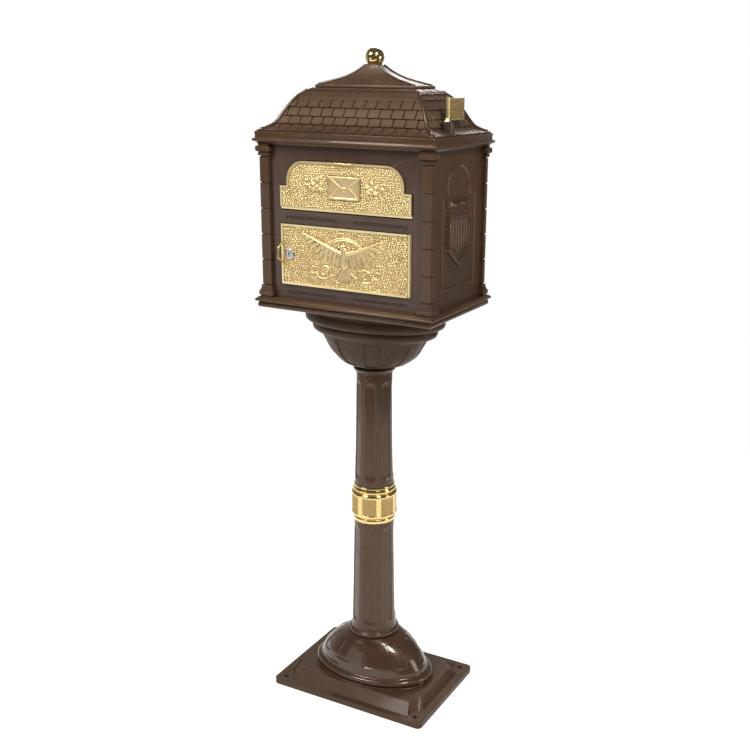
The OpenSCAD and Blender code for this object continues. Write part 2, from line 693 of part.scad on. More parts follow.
// A plain long-winged bird under a ribbon, with a scroll on each side
module lock_emblem() color(gold) facing(-plate_y + 5, -plate_y) {
  for (s = [0, 1]) mirror([s, 0]) polygon(wing_pts());
  polygon([[-4, 1094], [2, 1097], [7, 1094], [12, 1092], [7, 1090], [8, 1076], [9, 1058],
    [5, 1042], [10, 1024], [0, 1020], [-10, 1024], [-5, 1042], [-9, 1058], [-8, 1076]]);
  for (s = [-1, 1]) translate([s * 52, 1040]) difference() {
    circle(r = 14, $fn = 64);
    circle(r = 10.5, $fn = 64);
    translate([s < 0 ? 0 : -20, 0]) square([20, 20]);
  }
  difference() {
    translate([0, 1050]) circle(r = 61, $fn = 128);
    translate([0, 1050]) circle(r = 56, $fn = 128);
    translate([-80, 980]) square([160, 118]);
  }
}

module pull_handle() color(gold) translate([-door_hw + 2.3, 0, 0]) rotate([90, 0, 90])
  linear_extrude(4.2, center = true) difference() {
    polygon([[plate_y - rim_h, pull_z0], [plate_y - pull_out, pull_z0 + 13],
      [plate_y - pull_out, pull_z1 - 13], [plate_y - rim_h, pull_z1]]);
    polygon([[plate_y + 1, pull_z0 + 4.2], [plate_y - pull_out + 3.6, pull_z0 + 15.4],
      [plate_y - pull_out + 3.6, pull_z1 - 15.4], [plate_y + 1, pull_z1 - 4.2]]);
  }

// Puts a shape drawn up +Z on the lock's axis, +Z turned to face into the box
module on_lock(y) {
  translate([lock_x, y, lock_cz]) rotate([-90, 0, 0]) children();
}

module lock_body() color(steel) difference() {
  union() {
    on_lock(plate_y - 4) cylinder(r = bezel_r, h = 4, $fn = 64);
    on_lock(plate_y - 5) cylinder(r1 = bezel_r - 1.5, r2 = bezel_r, h = 1, $fn = 64);
    on_lock(plate_y) cylinder(r = 9.5, h = 11, $fn = 64);
  }
  on_lock(-140) cylinder(r = 6.05, h = 60, $fn = 48);
}

module lock_nut() color(steel) on_lock(plate_y + door_t) hex_nut(24, 4, 9.5);

module lock_plug() color(steel) difference() {
  union() {
    on_lock(plate_y - 5.5) cylinder(r = 6, h = 16.7, $fn = 48);
    on_lock(plate_y + 11.2) cylinder(r = 4, h = 2, $fn = 48);
  }
  on_lock(plate_y - 6.5) translate([-0.6, -4, 0]) cube([1.2, 8, 4]);
  on_lock(plate_y + 5) cylinder(r = 1.5, h = 20, $fn = 32);
}

module lock_cam() color(steel) difference() {
  union() {
    on_lock(plate_y + 11.2) cylinder(r = 8, h = 2, $fn = 48);
    on_lock(plate_y + 11.2) translate([-6, -cam_len, 0]) cube([12, cam_len, 2]);
  }
  on_lock(plate_y + 10) cylinder(r = 4, h = 10, $fn = 48);
}

module cam_screw() color(zinc) {
  on_lock(plate_y + 13.2) cylinder(r = 6, h = 2.5, $fn = 48);
  on_lock(plate_y + 6.2) cylinder(r = 1.5, h = 8, $fn = 32);
}

base_plate();
base_dome();
lower_post();
post_band();
band_sleeve();
post_spigots();
upper_post();
tie_rod();
tie_nuts();
tie_washers();
bowl();
box_bottom();
pilaster_front_left();
pilaster_front_right();
pilaster_rear_left();
pilaster_rear_right();
corner_bolts();
front_panel();
rear_panel();
left_panel();
right_panel();
mail_shelf();
eave();
roof();
roof_cap();
finial();
flag_boss();
flag_screw();
flag();
mail_door();
mail_door_pins();
mail_door_pull();
mail_emblem();
lock_door();
lock_door_pins();
lock_emblem();
pull_handle();
lock_body();
lock_nut();
lock_plug();
lock_cam();
cam_screw();
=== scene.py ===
"""Looks of the pedestal mailbox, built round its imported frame. Lengths in the helpers are in millimetres."""
import math

import bpy
import numpy as np
from mathutils import Matrix, Vector


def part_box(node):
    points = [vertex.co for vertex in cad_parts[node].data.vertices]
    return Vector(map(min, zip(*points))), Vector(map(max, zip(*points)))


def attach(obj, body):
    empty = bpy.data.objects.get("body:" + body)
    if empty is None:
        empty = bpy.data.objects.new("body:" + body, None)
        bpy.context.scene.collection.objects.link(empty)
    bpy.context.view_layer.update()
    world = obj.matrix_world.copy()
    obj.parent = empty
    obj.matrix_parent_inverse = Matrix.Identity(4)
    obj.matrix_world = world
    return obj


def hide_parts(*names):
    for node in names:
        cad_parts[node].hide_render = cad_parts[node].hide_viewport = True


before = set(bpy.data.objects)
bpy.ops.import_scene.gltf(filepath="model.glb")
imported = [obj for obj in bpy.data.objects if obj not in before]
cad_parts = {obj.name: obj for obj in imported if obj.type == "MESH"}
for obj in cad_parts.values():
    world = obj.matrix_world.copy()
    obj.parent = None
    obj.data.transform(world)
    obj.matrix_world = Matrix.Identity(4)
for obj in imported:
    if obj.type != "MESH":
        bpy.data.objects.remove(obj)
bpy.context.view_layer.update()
MM = 0.001
rng = np.random.default_rng(7)
BOX = "mailbox"
WORLD = (0.13, 0.85)  # the surroundings' strength: overhead and in front, then low behind
FLOOR_HALF = 2.1  # metres


# ---------------------------------------------------------------- camera, light, floor
def add_camera():
    yaw, pitch, roll = 0.478, 0.2812, 0.0139
    fwd = Vector((-math.sin(yaw) * math.cos(pitch), math.cos(yaw) * math.cos(pitch), -math.sin(pitch)))
    right = Vector((math.cos(yaw), math.sin(yaw), 0))
    up = right.cross(fwd)
    r2 = right * math.cos(roll) + up * math.sin(roll)
    u2 = up * math.cos(roll) - right * math.sin(roll)
    cam = bpy.data.cameras.new("camera")
    cam.lens, cam.sensor_width, cam.shift_x = 49.72, 36, -0.06
    cam.clip_end = 50
    obj = bpy.data.objects.new("camera", cam)
    m = Matrix((r2, u2, -fwd)).transposed().to_4x4()
    m.translation = Vector((1.14028, -1.97459, 1.44334))
    obj.matrix_world = m
    bpy.context.scene.collection.objects.link(obj)
    bpy.context.scene.camera = obj


def add_area(name, az, el, dist, size, power, colour=(1, 1, 1), aim=(0, 0, 0.95)):
    """A softbox at an azimuth (from -Y towards +X) and elevation round the aim point."""
    a, e = math.radians(az), math.radians(el)
    away = Vector((math.sin(a) * math.cos(e), -math.cos(a) * math.cos(e), math.sin(e)))
    place = Vector(aim) + dist * away
    light = bpy.data.lights.new(name, "AREA")
    light.shape = "RECTANGLE"
    light.size, light.size_y = size
    light.energy, light.color = power, colour
    obj = bpy.data.objects.new(name, light)
    obj.location = place
    obj.rotation_euler = (Vector(aim) - place).to_track_quat("-Z", "Y").to_euler()
    bpy.context.scene.collection.objects.link(obj)


def add_studio():
    bpy.context.scene.view_settings.view_transform = "Standard"
    world = bpy.data.worlds.new("studio")
    bpy.context.scene.world = world
    world.use_nodes = True
    nt = world.node_tree
    nt.nodes.clear()
    out = nt.nodes.new("ShaderNodeOutputWorld")
    dim, white = nt.nodes.new("ShaderNodeBackground"), nt.nodes.new("ShaderNodeBackground")
    pick, path = nt.nodes.new("ShaderNodeMixShader"), nt.nodes.new("ShaderNodeLightPath")
    axes = nt.nodes.new("ShaderNodeSeparateXYZ")
    direction = nt.nodes.new("ShaderNodeTexCoord").outputs["Generated"]
    nt.links.new(direction, axes.inputs[0])
    turn = nt.nodes.new("ShaderNodeVectorMath")
    turn.operation = "DOT_PRODUCT"
    turn.inputs[1].default_value = (-0.72, 0.69, 0)
    nt.links.new(direction, turn.inputs[0])
    back = mapped(nt, turn.outputs["Value"], 0.35, 0.95, 0.0, 1.0)
    low = mapped(nt, axes.outputs["Z"], 0.0, 0.55, 1.0, 0.0)
    glow = nt.nodes.new("ShaderNodeMath")
    glow.operation = "MULTIPLY"
    nt.links.new(back, glow.inputs[0])
    nt.links.new(low, glow.inputs[1])
    nt.links.new(mapped(nt, glow.outputs[0], 0.0, 1.0, *WORLD), dim.inputs["Strength"])
    white.inputs["Strength"].default_value = 1.0
    white.inputs["Color"].default_value = (1, 1, 1, 1)
    nt.links.new(path.outputs["Is Camera Ray"], pick.inputs[0])
    nt.links.new(dim.outputs[0], pick.inputs[1])
    nt.links.new(white.outputs[0], pick.inputs[2])
    nt.links.new(pick.outputs[0], out.inputs[0])
    add_area("key_left", -30, 44, 2.9, (1.0, 1.0), 62)
    add_area("key_right", 57, 45, 2.9, (0.7, 0.7), 52)
    add_area("side_right", 100, 4, 3.2, (0.8, 1.4), 20, (1.0, 0.93, 0.85))
    add_area("back_left", 205, 36, 3.0, (1.2, 1.2), 34)
    add_area("low_left", -30, -9, 3.0, (1.5, 0.9), 4.5)
    mesh = bpy.data.meshes.new("floor")
    corners = [(sx * FLOOR_HALF, sy * FLOOR_HALF, -0.0005) for sx, sy in ((-1, -1), (1, -1), (1, 1), (-1, 1))]
    mesh.from_pydata(corners, [], [(0, 1, 2, 3)])
    floor = bpy.data.objects.new("floor", mesh)
    bpy.context.scene.collection.objects.link(floor)
    mat, bsdf, _ = new_material("floor_white")
    bsdf.inputs["Base Color"].default_value = (0.3, 0.3, 0.3, 1)
    bsdf.inputs["Roughness"].default_value = 0.9
    bsdf.inputs["Specular IOR Level"].default_value = 0.1
    bsdf.inputs["Emission Color"].default_value = (1, 1, 1, 1)
    bsdf.inputs["Emission Strength"].default_value = 0.92
    mesh.materials.append(mat)


# ---------------------------------------------------------------- materials
def new_material(name):
    mat = bpy.data.materials.new(name)
    mat.use_nodes = True
    nt = mat.node_tree
    bsdf = nt.nodes["Principled BSDF"]
    return mat, bsdf, nt


def noise(nt, scale, detail=2.0, rough=0.5):
    n = nt.nodes.new("ShaderNodeTexNoise")
    n.inputs["Scale"].default_value = scale
    n.inputs["Detail"].default_value = detail
    n.inputs["Roughness"].default_value = rough
    nt.links.new(coords(nt), n.inputs["Vector"])
    return n.outputs["Fac"]


def coords(nt):
    for n in nt.nodes:
        if n.type == "TEX_COORD":
            return n.outputs["Object"]
    return nt.nodes.new("ShaderNodeTexCoord").outputs["Object"]


def ramp(nt, fac, stops):
    n = nt.nodes.new("ShaderNodeValToRGB")
    while len(n.color_ramp.elements) < len(stops):
        n.color_ramp.elements.new(0.5)
    for el, (pos, col) in zip(n.color_ramp.elements, stops):
        el.position = pos
        el.color = (*col, 1)
    nt.links.new(fac, n.inputs[0])
    return n.outputs[0]


def mapped(nt, fac, lo, hi, out_lo, out_hi):
    n = nt.nodes.new("ShaderNodeMapRange")
    for name, v in (("From Min", lo), ("From Max", hi), ("To Min", out_lo), ("To Max", out_hi)):
        n.inputs[name].default_value = v
    nt.links.new(fac, n.inputs["Value"])
    return n.outputs["Result"]


def mix(nt, fac, a, b, kind="MIX"):
    n = nt.nodes.new("ShaderNodeMix")
    n.data_type, n.blend_type = "RGBA", kind
    for sock, v in ((n.inputs["Factor"], fac), (n.inputs["A"], a), (n.inputs["B"], b)):
        if isinstance(v, (int, float)):
            sock.default_value = v
        elif isinstance(v, tuple):
            sock.default_value = (*v, 1)
        else:
            nt.links.new(v, sock)
    return n.outputs["Result"]


def bump(nt, height, strength, distance, below=None):
    n = nt.nodes.new("ShaderNodeBump")
    n.inputs["Strength"].default_value = strength
    n.inputs["Distance"].default_value = distance
    nt.links.new(height, n.inputs["Height"])
    if below is not None:
        nt.links.new(below, n.inputs["Normal"])
    return n.outputs[0]


def pointiness(nt):
    return nt.nodes.new("ShaderNodeNewGeometry").outputs["Pointiness"]


def coat(name, colour, rough=(0.3, 0.42), gloss=0.36, clear=0.34):
    """Powder coat: cast grain, orange peel, patchy tone and sheen, rubbed edges, and painted shade darkening
    the creases.
    """
    mat, bsdf, nt = new_material(name)
    light = tuple(min(1, c * 1.2) for c in colour)
    deep = tuple(c * 0.84 for c in colour)
    base = ramp(nt, noise(nt, 9, 4, 0.6), [(0.3, deep), (0.5, colour), (0.72, light)])
    mottle = ramp(nt, noise(nt, 340, 3, 0.6), [(0.36, (0.78, 0.77, 0.76)), (0.64, (1.2, 1.2, 1.2))])
    base = mix(nt, 1.0, base, mottle, "MULTIPLY")
    fleck = ramp(nt, noise(nt, 2600, 1), [(0.44, (0.86, 0.86, 0.86)), (0.62, (1.14, 1.12, 1.1))])
    base = mix(nt, 1.0, base, fleck, "MULTIPLY")
    worn = mapped(nt, pointiness(nt), 0.53, 0.62, 0, 0.4)
    base = mix(nt, worn, base, tuple(min(1, c * 2.0) for c in colour))
    # painted shade: the coat darkens towards a third of its colour in creases and hollows, where shade falls
    painted_hollow_shade = mapped(nt, pointiness(nt), 0.475, 0.38, 0, 0.55)
    base = mix(nt, painted_hollow_shade, base, tuple(c * 0.35 for c in colour))
    nt.links.new(base, bsdf.inputs["Base Color"])
    nt.links.new(mapped(nt, noise(nt, 38, 3), 0.3, 0.7, *rough), bsdf.inputs["Roughness"])
    peel = bump(nt, noise(nt, 620, 2, 0.5), 0.2, 0.0004)
    grain = bump(nt, noise(nt, 300, 2), 0.22, 0.0006, peel)
    nt.links.new(bump(nt, noise(nt, 70, 2), 0.1, 0.0008, grain), bsdf.inputs["Normal"])
    bsdf.inputs["Metallic"].default_value = 0.1
    bsdf.inputs["Specular IOR Level"].default_value = gloss
    bsdf.inputs["Specular Tint"].default_value = (1.0, 0.77, 0.6, 1)
    bsdf.inputs["Coat Weight"].default_value = clear
    bsdf.inputs["Coat Roughness"].default_value = 0.07
    return mat


def metal(name, colour, rough, tone=0.12, grain=900, grain_bump=0.06, crease_shade_colour=None, painted_shading=None, metallic=1.0):
    """Bare metal with soft colour patches, fine grain, painted shade darkening its creases, and brighter
    edges.
    """
    mat, bsdf, nt = new_material(name)
    dark = tuple(c * (1 - tone) for c in colour)
    light = tuple(min(1, c * (1 + tone)) for c in colour)
    base = ramp(nt, noise(nt, 16, 4, 0.6), [(0.3, dark), (0.5, colour), (0.7, light)])
    # painted shade: creases and hollows take a darker colour, where shade falls
    crease = mapped(nt, pointiness(nt), 0.49, 0.4, 0, 0.75)
    base = mix(nt, crease, base, crease_shade_colour or tuple(c * 0.5 for c in colour))
    edge = mapped(nt, pointiness(nt), 0.52, 0.62, 0, 0.5)
    base = mix(nt, edge, base, tuple(min(1, c * 1.3 + 0.05) for c in colour))
    # painted shade and highlight: the tone attribute darkens the creases and lightens the crests of a relief
    if painted_shading:
        attr = nt.nodes.new("ShaderNodeAttribute")
        attr.attribute_name = "tone"
        shade_highlight_wash = ramp(nt, attr.outputs["Fac"], [(0.0, painted_shading[0]), (0.5, painted_shading[1]), (1.0, painted_shading[2])])
        base = mix(nt, 1.0, base, shade_highlight_wash, "MULTIPLY")
    nt.links.new(base, bsdf.inputs["Base Color"])
    nt.links.new(mapped(nt, noise(nt, 45, 3), 0.3, 0.7, *rough), bsdf.inputs["Roughness"])
    height = bump(nt, noise(nt, grain, 2), grain_bump, 0.0003)
    nt.links.new(height, bsdf.inputs["Normal"])
    bsdf.inputs["Metallic"].default_value = metallic
    return mat


M = {}


def make_materials():
    M["bronze"] = coat("bronze_coat", (0.072, 0.039, 0.020))
    M["roof"] = coat("bronze_coat_roof", (0.078, 0.044, 0.026), (0.4, 0.52), 0.33, clear=0.1)
    # near black coat: painted shade for the shell that shows between the shingles
    M["gap"] = coat("bronze_coat_gap_shade", (0.020, 0.012, 0.008), (0.55, 0.65), 0.2, clear=0.0)
    # dark coat: painted shade in the grooves round the sunken panels
    M["crease"] = coat("bronze_coat_creases", (0.026, 0.015, 0.009), (0.4, 0.5), 0.3, clear=0.0)
    M["gloss"] = coat("bronze_coat_gloss", (0.064, 0.034, 0.018), (0.24, 0.34), 0.4, clear=0.6)
    M["plate"] = coat("bronze_coat_plate", (0.064, 0.035, 0.019), (0.46, 0.58), 0.3, clear=0.12)
    # near black coat: painted shade inside the keyhole and in the gap round the plug
    M["dark"] = coat("keyway_painted_shade", (0.008, 0.007, 0.006), (0.6, 0.7), 0.1, clear=0.0)
    # a darker copy of the bronze coat: painted shade on the front panel and the flag boss
    M["panel"] = coat("bronze_coat_shaded", (0.062, 0.038, 0.029), (0.36, 0.48), 0.35)
    # colours by which the tone attribute paints shade in creases (first) and highlight on crests (last)
    deep = ((0.36, 0.23, 0.12), (0.88, 0.84, 0.76), (1.06, 1.08, 1.12))
    M["field"] = metal("brass_hammered", (0.80, 0.62, 0.32), (0.4, 0.52), 0.08, 1200, 0.08,
                       (0.5, 0.3, 0.09), painted_shading=deep, metallic=0.9)
    M["satin"] = metal("brass_satin", (0.88, 0.69, 0.36), (0.26, 0.36), 0.08, 1500, 0.05,
                       (0.45, 0.27, 0.08), metallic=0.9)
    M["matte"] = metal("brass_matte", (0.56, 0.40, 0.17), (0.4, 0.52), 0.12, 1500, 0.1,
                       (0.3, 0.18, 0.05), painted_shading=deep, metallic=0.9)
    M["polished"] = metal("brass_polished", (0.83, 0.62, 0.26), (0.07, 0.14), 0.06, 2200, 0.02,
                          (0.4, 0.23, 0.06))
    M["steel"] = metal("steel_bright", (0.55, 0.56, 0.58), (0.14, 0.22), 0.06, 1800, 0.015)
    M["zinc"] = metal("zinc_steel", (0.5, 0.5, 0.49), (0.36, 0.5), 0.12, 900, 0.1)


# ---------------------------------------------------------------- mesh helpers
def finish_mesh(name, verts, faces, mat, body, angle=32, replaces=(), slot=None, tone=None, second=None):
    """Makes a piece from points in millimetres, shades it smooth up to an angle, and rides it.

    tone is a number for each point that the material reads as painted shade when low and painted highlight
    when high.
    second is another material and a flag for each face.
    """
    mesh = bpy.data.meshes.new(name)
    mesh.from_pydata((np.asarray(verts, float) * MM).tolist(), [], faces)
    mesh.update()
    obj = bpy.data.objects.new(name, mesh)
    bpy.context.scene.collection.objects.link(obj)
    shade(mesh, angle)
    mesh.materials.append(mat)
    if tone is not None:
        attr = mesh.attributes.new("tone", "FLOAT", "POINT")
        attr.data.foreach_set("value", np.clip(np.ravel(tone), 0, 1).astype(np.float32))
    if second:
        mesh.materials.append(second[0])
        mesh.polygons.foreach_set("material_index", np.asarray(second[1], dtype=np.int32))
    if replaces:
        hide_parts(*replaces)
    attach(obj, body)


def shade(mesh, angle):
    mesh.polygons.foreach_set("use_smooth", [True] * len(mesh.polygons))
    mesh.set_sharp_from_angle(angle=math.radians(angle))
    mesh.update()


def grid_faces(m, n, wrap_n=False, flip=False):
    """Quads over m rows of n points."""
    i = np.arange(m - 1)[:, None]
    j = np.arange(n if wrap_n else n - 1)[None, :]
    a, b = i * n + j, i * n + (j + 1) % n
    c, d = (i + 1) * n + (j + 1) % n, (i + 1) * n + j
    return np.stack([a, b, c, d] if not flip else [d, c, b, a], -1).reshape(-1, 4).tolist()


class Parts:
    """Gathers several shapes into one mesh."""

    def __init__(self):
        self.v, self.f, self.n = [], [], 0

    def add(self, verts, faces):
        verts = np.asarray(verts, float).reshape(-1, 3)
        self.f += [[k + self.n for k in face] for face in faces]
        self.v.append(verts)
        self.n += len(verts)

    def build(self, name, mat, body, **kw):
        finish_mesh(name, np.concatenate(self.v), self.f, mat, body, **kw)


def lathe(parts, profile, sides):
    """Turns (radius, height) points about Z; an end is closed when its radius is 0."""
    prof = np.array(profile, float)
    a = np.linspace(0, 2 * math.pi, sides, endpoint=False)
    v = np.stack([prof[:, :1] * np.cos(a), prof[:, :1] * np.sin(a), np.repeat(prof[:, 1:], sides, 1)], -1)
    parts.add(v, grid_faces(len(prof), sides, wrap_n=True))


def rect_ring(hx, hy, z, r, per=4):
    """Points of a rectangle with round corners, anticlockwise from above."""
    out = []
    for k, (sx, sy) in enumerate(((1, 1), (-1, 1), (-1, -1), (1, -1))):
        for t in np.linspace(0, 90, per):
            a = math.radians(t + 90 * k)
            out.append((sx * (hx - r) + r * math.cos(a), sy * (hy - r) + r * math.sin(a), z))
    return out


def end_caps(rows, n):
    """The two end faces of a closed grid of rows of n points."""
    return [list(range(n))[::-1], [(rows - 1) * n + k for k in range(n)]]


def rect_loft(parts, levels, r):
    """Lofts rectangles with corner radius r, given as (half x, half y, z), and closes both ends."""
    rings = [rect_ring(x, y, z, r) for x, y, z in levels]
    n = len(rings[0])
    parts.add(rings, grid_faces(len(rings), n, wrap_n=True) + end_caps(len(rings), n))


def tube(parts, path, radius, sides=12, flat=1.0, up=(0, 0, 1)):
    """A round or flattened tube along a path of points, with rounded ends."""
    p = np.array(path, float)
    rad = np.full(len(p), radius, float) if np.isscalar(radius) else np.array(radius, float)
    t = np.gradient(p, axis=0)
    t /= np.linalg.norm(t, axis=1)[:, None]
    s = np.cross(t, np.array(up, float))
    s /= np.linalg.norm(s, axis=1)[:, None]
    w = np.cross(s, t)
    first, last = p[0] - t[0] * rad[0] * 0.6, p[-1] + t[-1] * rad[-1] * 0.6
    p = np.concatenate([[first], p, [last]])
    rad = np.concatenate([[rad[0] * 0.5], rad, [rad[-1] * 0.5]])
    s, w = np.concatenate([s[:1], s, s[-1:]]), np.concatenate([w[:1], w, w[-1:]])
    a = np.linspace(0, 2 * math.pi, sides, endpoint=False)
    across = np.cos(a)[None, :, None] * s[:, None] + flat * np.sin(a)[None, :, None] * w[:, None]
    v = p[:, None] + rad[:, None, None] * across
    parts.add(v, grid_faces(len(p), sides, wrap_n=True) + end_caps(len(p), sides))


GENTLE = 0.88  # cosine of the sharpest bend that is eased


def smooth_levels(levels, step):
    """Resamples levels about step apart, easing the curve across gentle bends only."""
    lv = np.array(levels, float)
    out = [lv[0]]
    for i in range(len(lv) - 1):
        p0, p1 = lv[i], lv[i + 1]
        pa = lv[i - 1] if i else p0
        pb = lv[i + 2] if i + 2 < len(lv) else p1
        n = max(1, int(np.linalg.norm((p1 - p0)[:3]) / step))
        d = p1 - p0

        def gentle(q):
            lq, ld = np.linalg.norm(q[:3]), np.linalg.norm(d[:3])
            return lq > 1e-6 and ld > 1e-6 and float(q[:3] @ d[:3]) / (lq * ld) > GENTLE

        m0 = (p1 - pa) / 2 if gentle(p0 - pa) else d
        m1 = (pb - p0) / 2 if gentle(pb - p1) else d
        for k in range(1, n + 1):
            t = k / n
            out.append((2 * t**3 - 3 * t**2 + 1) * p0 + (t**3 - 2 * t**2 + t) * m0
                       + (3 * t**2 - 2 * t**3) * p1 + (t**3 - t**2) * m1)
    return np.array(out)


def step_up(x, lo, hi):
    """0 below lo, 1 above hi, and a smooth step between."""
    t = np.clip((x - lo) / (hi - lo), 0, 1)
    return t * t * (3 - 2 * t)


# ---------------------------------------------------------------- oval castings
PANELS = 10
PANEL_SUNK, PANEL_GROOVE = 2.6, 5.6
# (half x, half y, height)
DOME = [(157, 99, 34), (157, 99, 36.6), (156, 98.2, 37.6), (150, 94.5, 38.2), (149.5, 94.5, 39)]
DOME += [(145.5 + 8 * math.cos(t), 92 + 8 * math.cos(t), 46 + 8 * math.sin(t))
         for t in np.radians(np.arange(-55, 66, 15))]
DOME += [(145, 91.6, 54.6), (141.6, 90, 56), (140, 89.4, 58), (139.4, 89, 62), (138, 88.8, 66.5),
         (135.5, 88.4, 71), (131, 87, 80), (125, 83.6, 90), (117.5, 79.5, 99), (108, 75, 109),
         (97, 70.5, 118), (85.5, 66.4, 125.6), (72, 63, 133), (61, 60, 138), (52, 52, 139.8)]
BOWL = [(40, 40, 811.2), (44, 44, 811.4), (50, 50, 812.5), (63, 55.5, 814.4), (74, 60, 817), (80, 63, 820),
        (92, 68, 828), (103.5, 72.8, 838), (111, 76, 847.5), (117, 79, 858), (125.6, 83.6, 872),
        (129.4, 86, 879), (131, 87, 881.4), (133, 88.2, 882.6), (139, 91.5, 883.6), (147, 95.4, 886.4),
        (151, 97.8, 890), (152.6, 99, 894), (153, 99.3, 897), (152.6, 99, 900.4), (151.6, 98.4, 903.6),
        (150.4, 97.6, 905), (153, 99.4, 906), (160, 104, 907), (166, 108, 909), (169.4, 110.5, 912.6),
        (170.4, 111.3, 917), (170.4, 111.3, 923), (169.8, 110.8, 927), (168.2, 110, 929.4),
        (167.6, 109.6, 931), (167.6, 109.6, 951.9)]


def oval(name, levels, z0, z1, node, mat):
    """An oval casting with sunken panels between two heights; their edges are grooves coated dark as painted
    shade.
    """
    lv = smooth_levels(levels, 2.4)
    sides = 400
    a = np.linspace(0, 2 * math.pi, sides, endpoint=False)
    turn = (np.degrees(a) * PANELS / 360) % 1.0
    half_edge, pad = 0.03, 2.2
    across = step_up(turn, 0.25 - half_edge, 0.25 + half_edge)
    across = across * (1 - step_up(turn, 0.75 - half_edge, 0.75 + half_edge))
    z = lv[:, 2]
    up = step_up(z, z0, z0 + pad) * (1 - step_up(z, z1 - pad, z1))
    m = up[:, None] * across[None, :]
    dip = PANEL_SUNK * m + PANEL_GROOVE * m * (1 - m)
    v = np.stack([(lv[:, :1] - dip) * np.sin(a), -(lv[:, 1:2] - dip) * np.cos(a),
                  np.repeat(z[:, None], sides, 1)], -1)
    parts = Parts()
    parts.add(v, grid_faces(len(lv), sides, wrap_n=True))
    # faces in the panel-edge grooves, which take the dark coat as painted shade
    line = (m > 0.03) & (m < 0.97)
    line = line[:-1] & line[1:] & np.roll(line, -1, 1)[:-1]
    parts.build(name, M[mat], BOX, angle=40, replaces=(node,), slot="bronze_coat",
                second=(M["crease"], line.ravel()))


# ---------------------------------------------------------------- fluted shafts and the brass band
FLUTES = 7
PHASE = -8  # degrees from the front to a rib between two flutes, towards +X
FACET_R, FACET_HALF = 52.2, 20.6  # radius in millimetres and half width in degrees
FACET_Z = (453.5, 498.5)
# (height, radius)
LOWER = [(140, 50), (140, 56), (141, 58.5), (143, 59.8), (145, 60.1), (147, 59.8), (149, 58.5), (150.2, 56),
         (151, 54.6), (153, 54), (156, 53.6), (163, 52.8), (212, 51.3), (266, 50), (319, 49.2), (372, 48),
         (433, 47)]
UPPER = [(523, 46), (576, 44.6), (626, 43.2), (724, 41.8), (786, 40.8), (791.6, 40.8), (792.2, 41.6),
         (793.2, 41.6), (794, 40.9), (796, 41.4), (797.6, 43), (799, 45), (800.4, 46.8), (802.4, 48),
         (804.4, 48.3), (806, 48), (807.4, 47), (808.2, 45.4), (808.8, 42), (811, 41.6)]


def shaft(name, prof, z0, z1, node):
    """A tapered shaft with round-ended flutes between two heights."""
    p = smooth_levels([(r, r, z) for z, r in prof], 2.5)
    r, z = p[:, 0], p[:, 2]
    sides = FLUTES * 60
    half, end, depth = 17.6, 15.0, 3.2  # degrees, then millimetres
    a = np.linspace(0, 360, sides, endpoint=False)
    off = ((a - PHASE) * FLUTES / 360 + 0.5) % 1.0 - 0.5
    off = (0.5 - np.abs(off)) * 360 / FLUTES
    width = np.radians(half) * r[:, None]
    u = np.radians(off)[None, :] * r[:, None]
    zz = np.maximum(np.maximum(z0 + end - z, z - (z1 - end)), 0)[:, None]
    inside = width - np.sqrt(u**2 + (zz * width / end) ** 2)
    bowl = np.clip(inside / width, 0, 1)
    dip = depth * step_up(inside, 0, depth) * (0.55 + 0.45 * (1 - (1 - bowl) ** 2))
    ar = np.radians(a)[None, :]
    rr = r[:, None] - dip
    v = np.stack([rr * np.sin(ar), -rr * np.cos(ar), np.repeat(z[:, None], sides, 1)], -1)
    parts = Parts()
    parts.add(v, grid_faces(len(p), sides, wrap_n=True))
    parts.build(name, M["bronze"], BOX, angle=50, replaces=(node,), slot="bronze_coat")


BAND = [(433, 46), (433, 47.4), (434.2, 48.8), (436, 49.4), (440, 49.8), (443, 49.2), (444.6, 47.8),
        (446, 48), (446.6, 50.6), (448, 52.6), (450, 53.4), (451.4, 53.6), (500.6, 53.6), (502, 53.4),
        (504, 52.6), (505.4, 50.6), (506, 48.4), (507, 48.4), (508.4, 50), (511, 50.9), (514, 50.6),
        (516.4, 49.2), (518, 48), (521, 48), (523, 47.4), (523, 45)]


def band():
    """The brass band: polished mouldings and bars round sunken, finely hammered facets."""
    p = smooth_levels([(r, r, z) for z, r in BAND], 1.2)
    r, z = p[:, 0], p[:, 2]
    sides = FLUTES * 84
    a = np.linspace(0, 360, sides, endpoint=False)
    off = ((a - PHASE + 2) * FLUTES / 360) % 1.0 - 0.5
    off = np.abs(off) * 360 / FLUTES
    per_degree = 0.93  # millimetres round the band
    inside = np.minimum((FACET_HALF - off)[None, :] * per_degree,
                        np.minimum(z - FACET_Z[0], FACET_Z[1] - z)[:, None])
    mask = step_up(inside, 0.0, 1.3)
    grain = hammer(np.radians(a) * 50, z, 3.0, 11)
    rr = r[:, None] * (1 - mask) + np.minimum(FACET_R, r[:, None]) * mask
    rr = rr + 0.7 * (grain - 0.6) * step_up(inside, 1.0, 2.2)
    ar = np.radians(a)[None, :]
    v = np.stack([rr * np.sin(ar), -rr * np.cos(ar), np.repeat(z[:, None], sides, 1)], -1)
    parts = Parts()
    parts.add(v, grid_faces(len(p), sides, wrap_n=True))
    matte = inside > 1.2
    matte = (matte[:-1] & matte[1:] & np.roll(matte, -1, 1)[:-1]).ravel()
    # tone paints shade in the hammer dents and highlight on their bumps
    parts.build("brass_band", M["polished"], BOX, angle=40, replaces=("post_band",), slot="brass",
                tone=0.15 + 0.8 * grain, second=(M["matte"], matte))


# ---------------------------------------------------------------- hammered fields and cast reliefs
FIELD_Y = -126.0  # front face of both doors
LOCK_X, LOCK_Z = -138, 1069


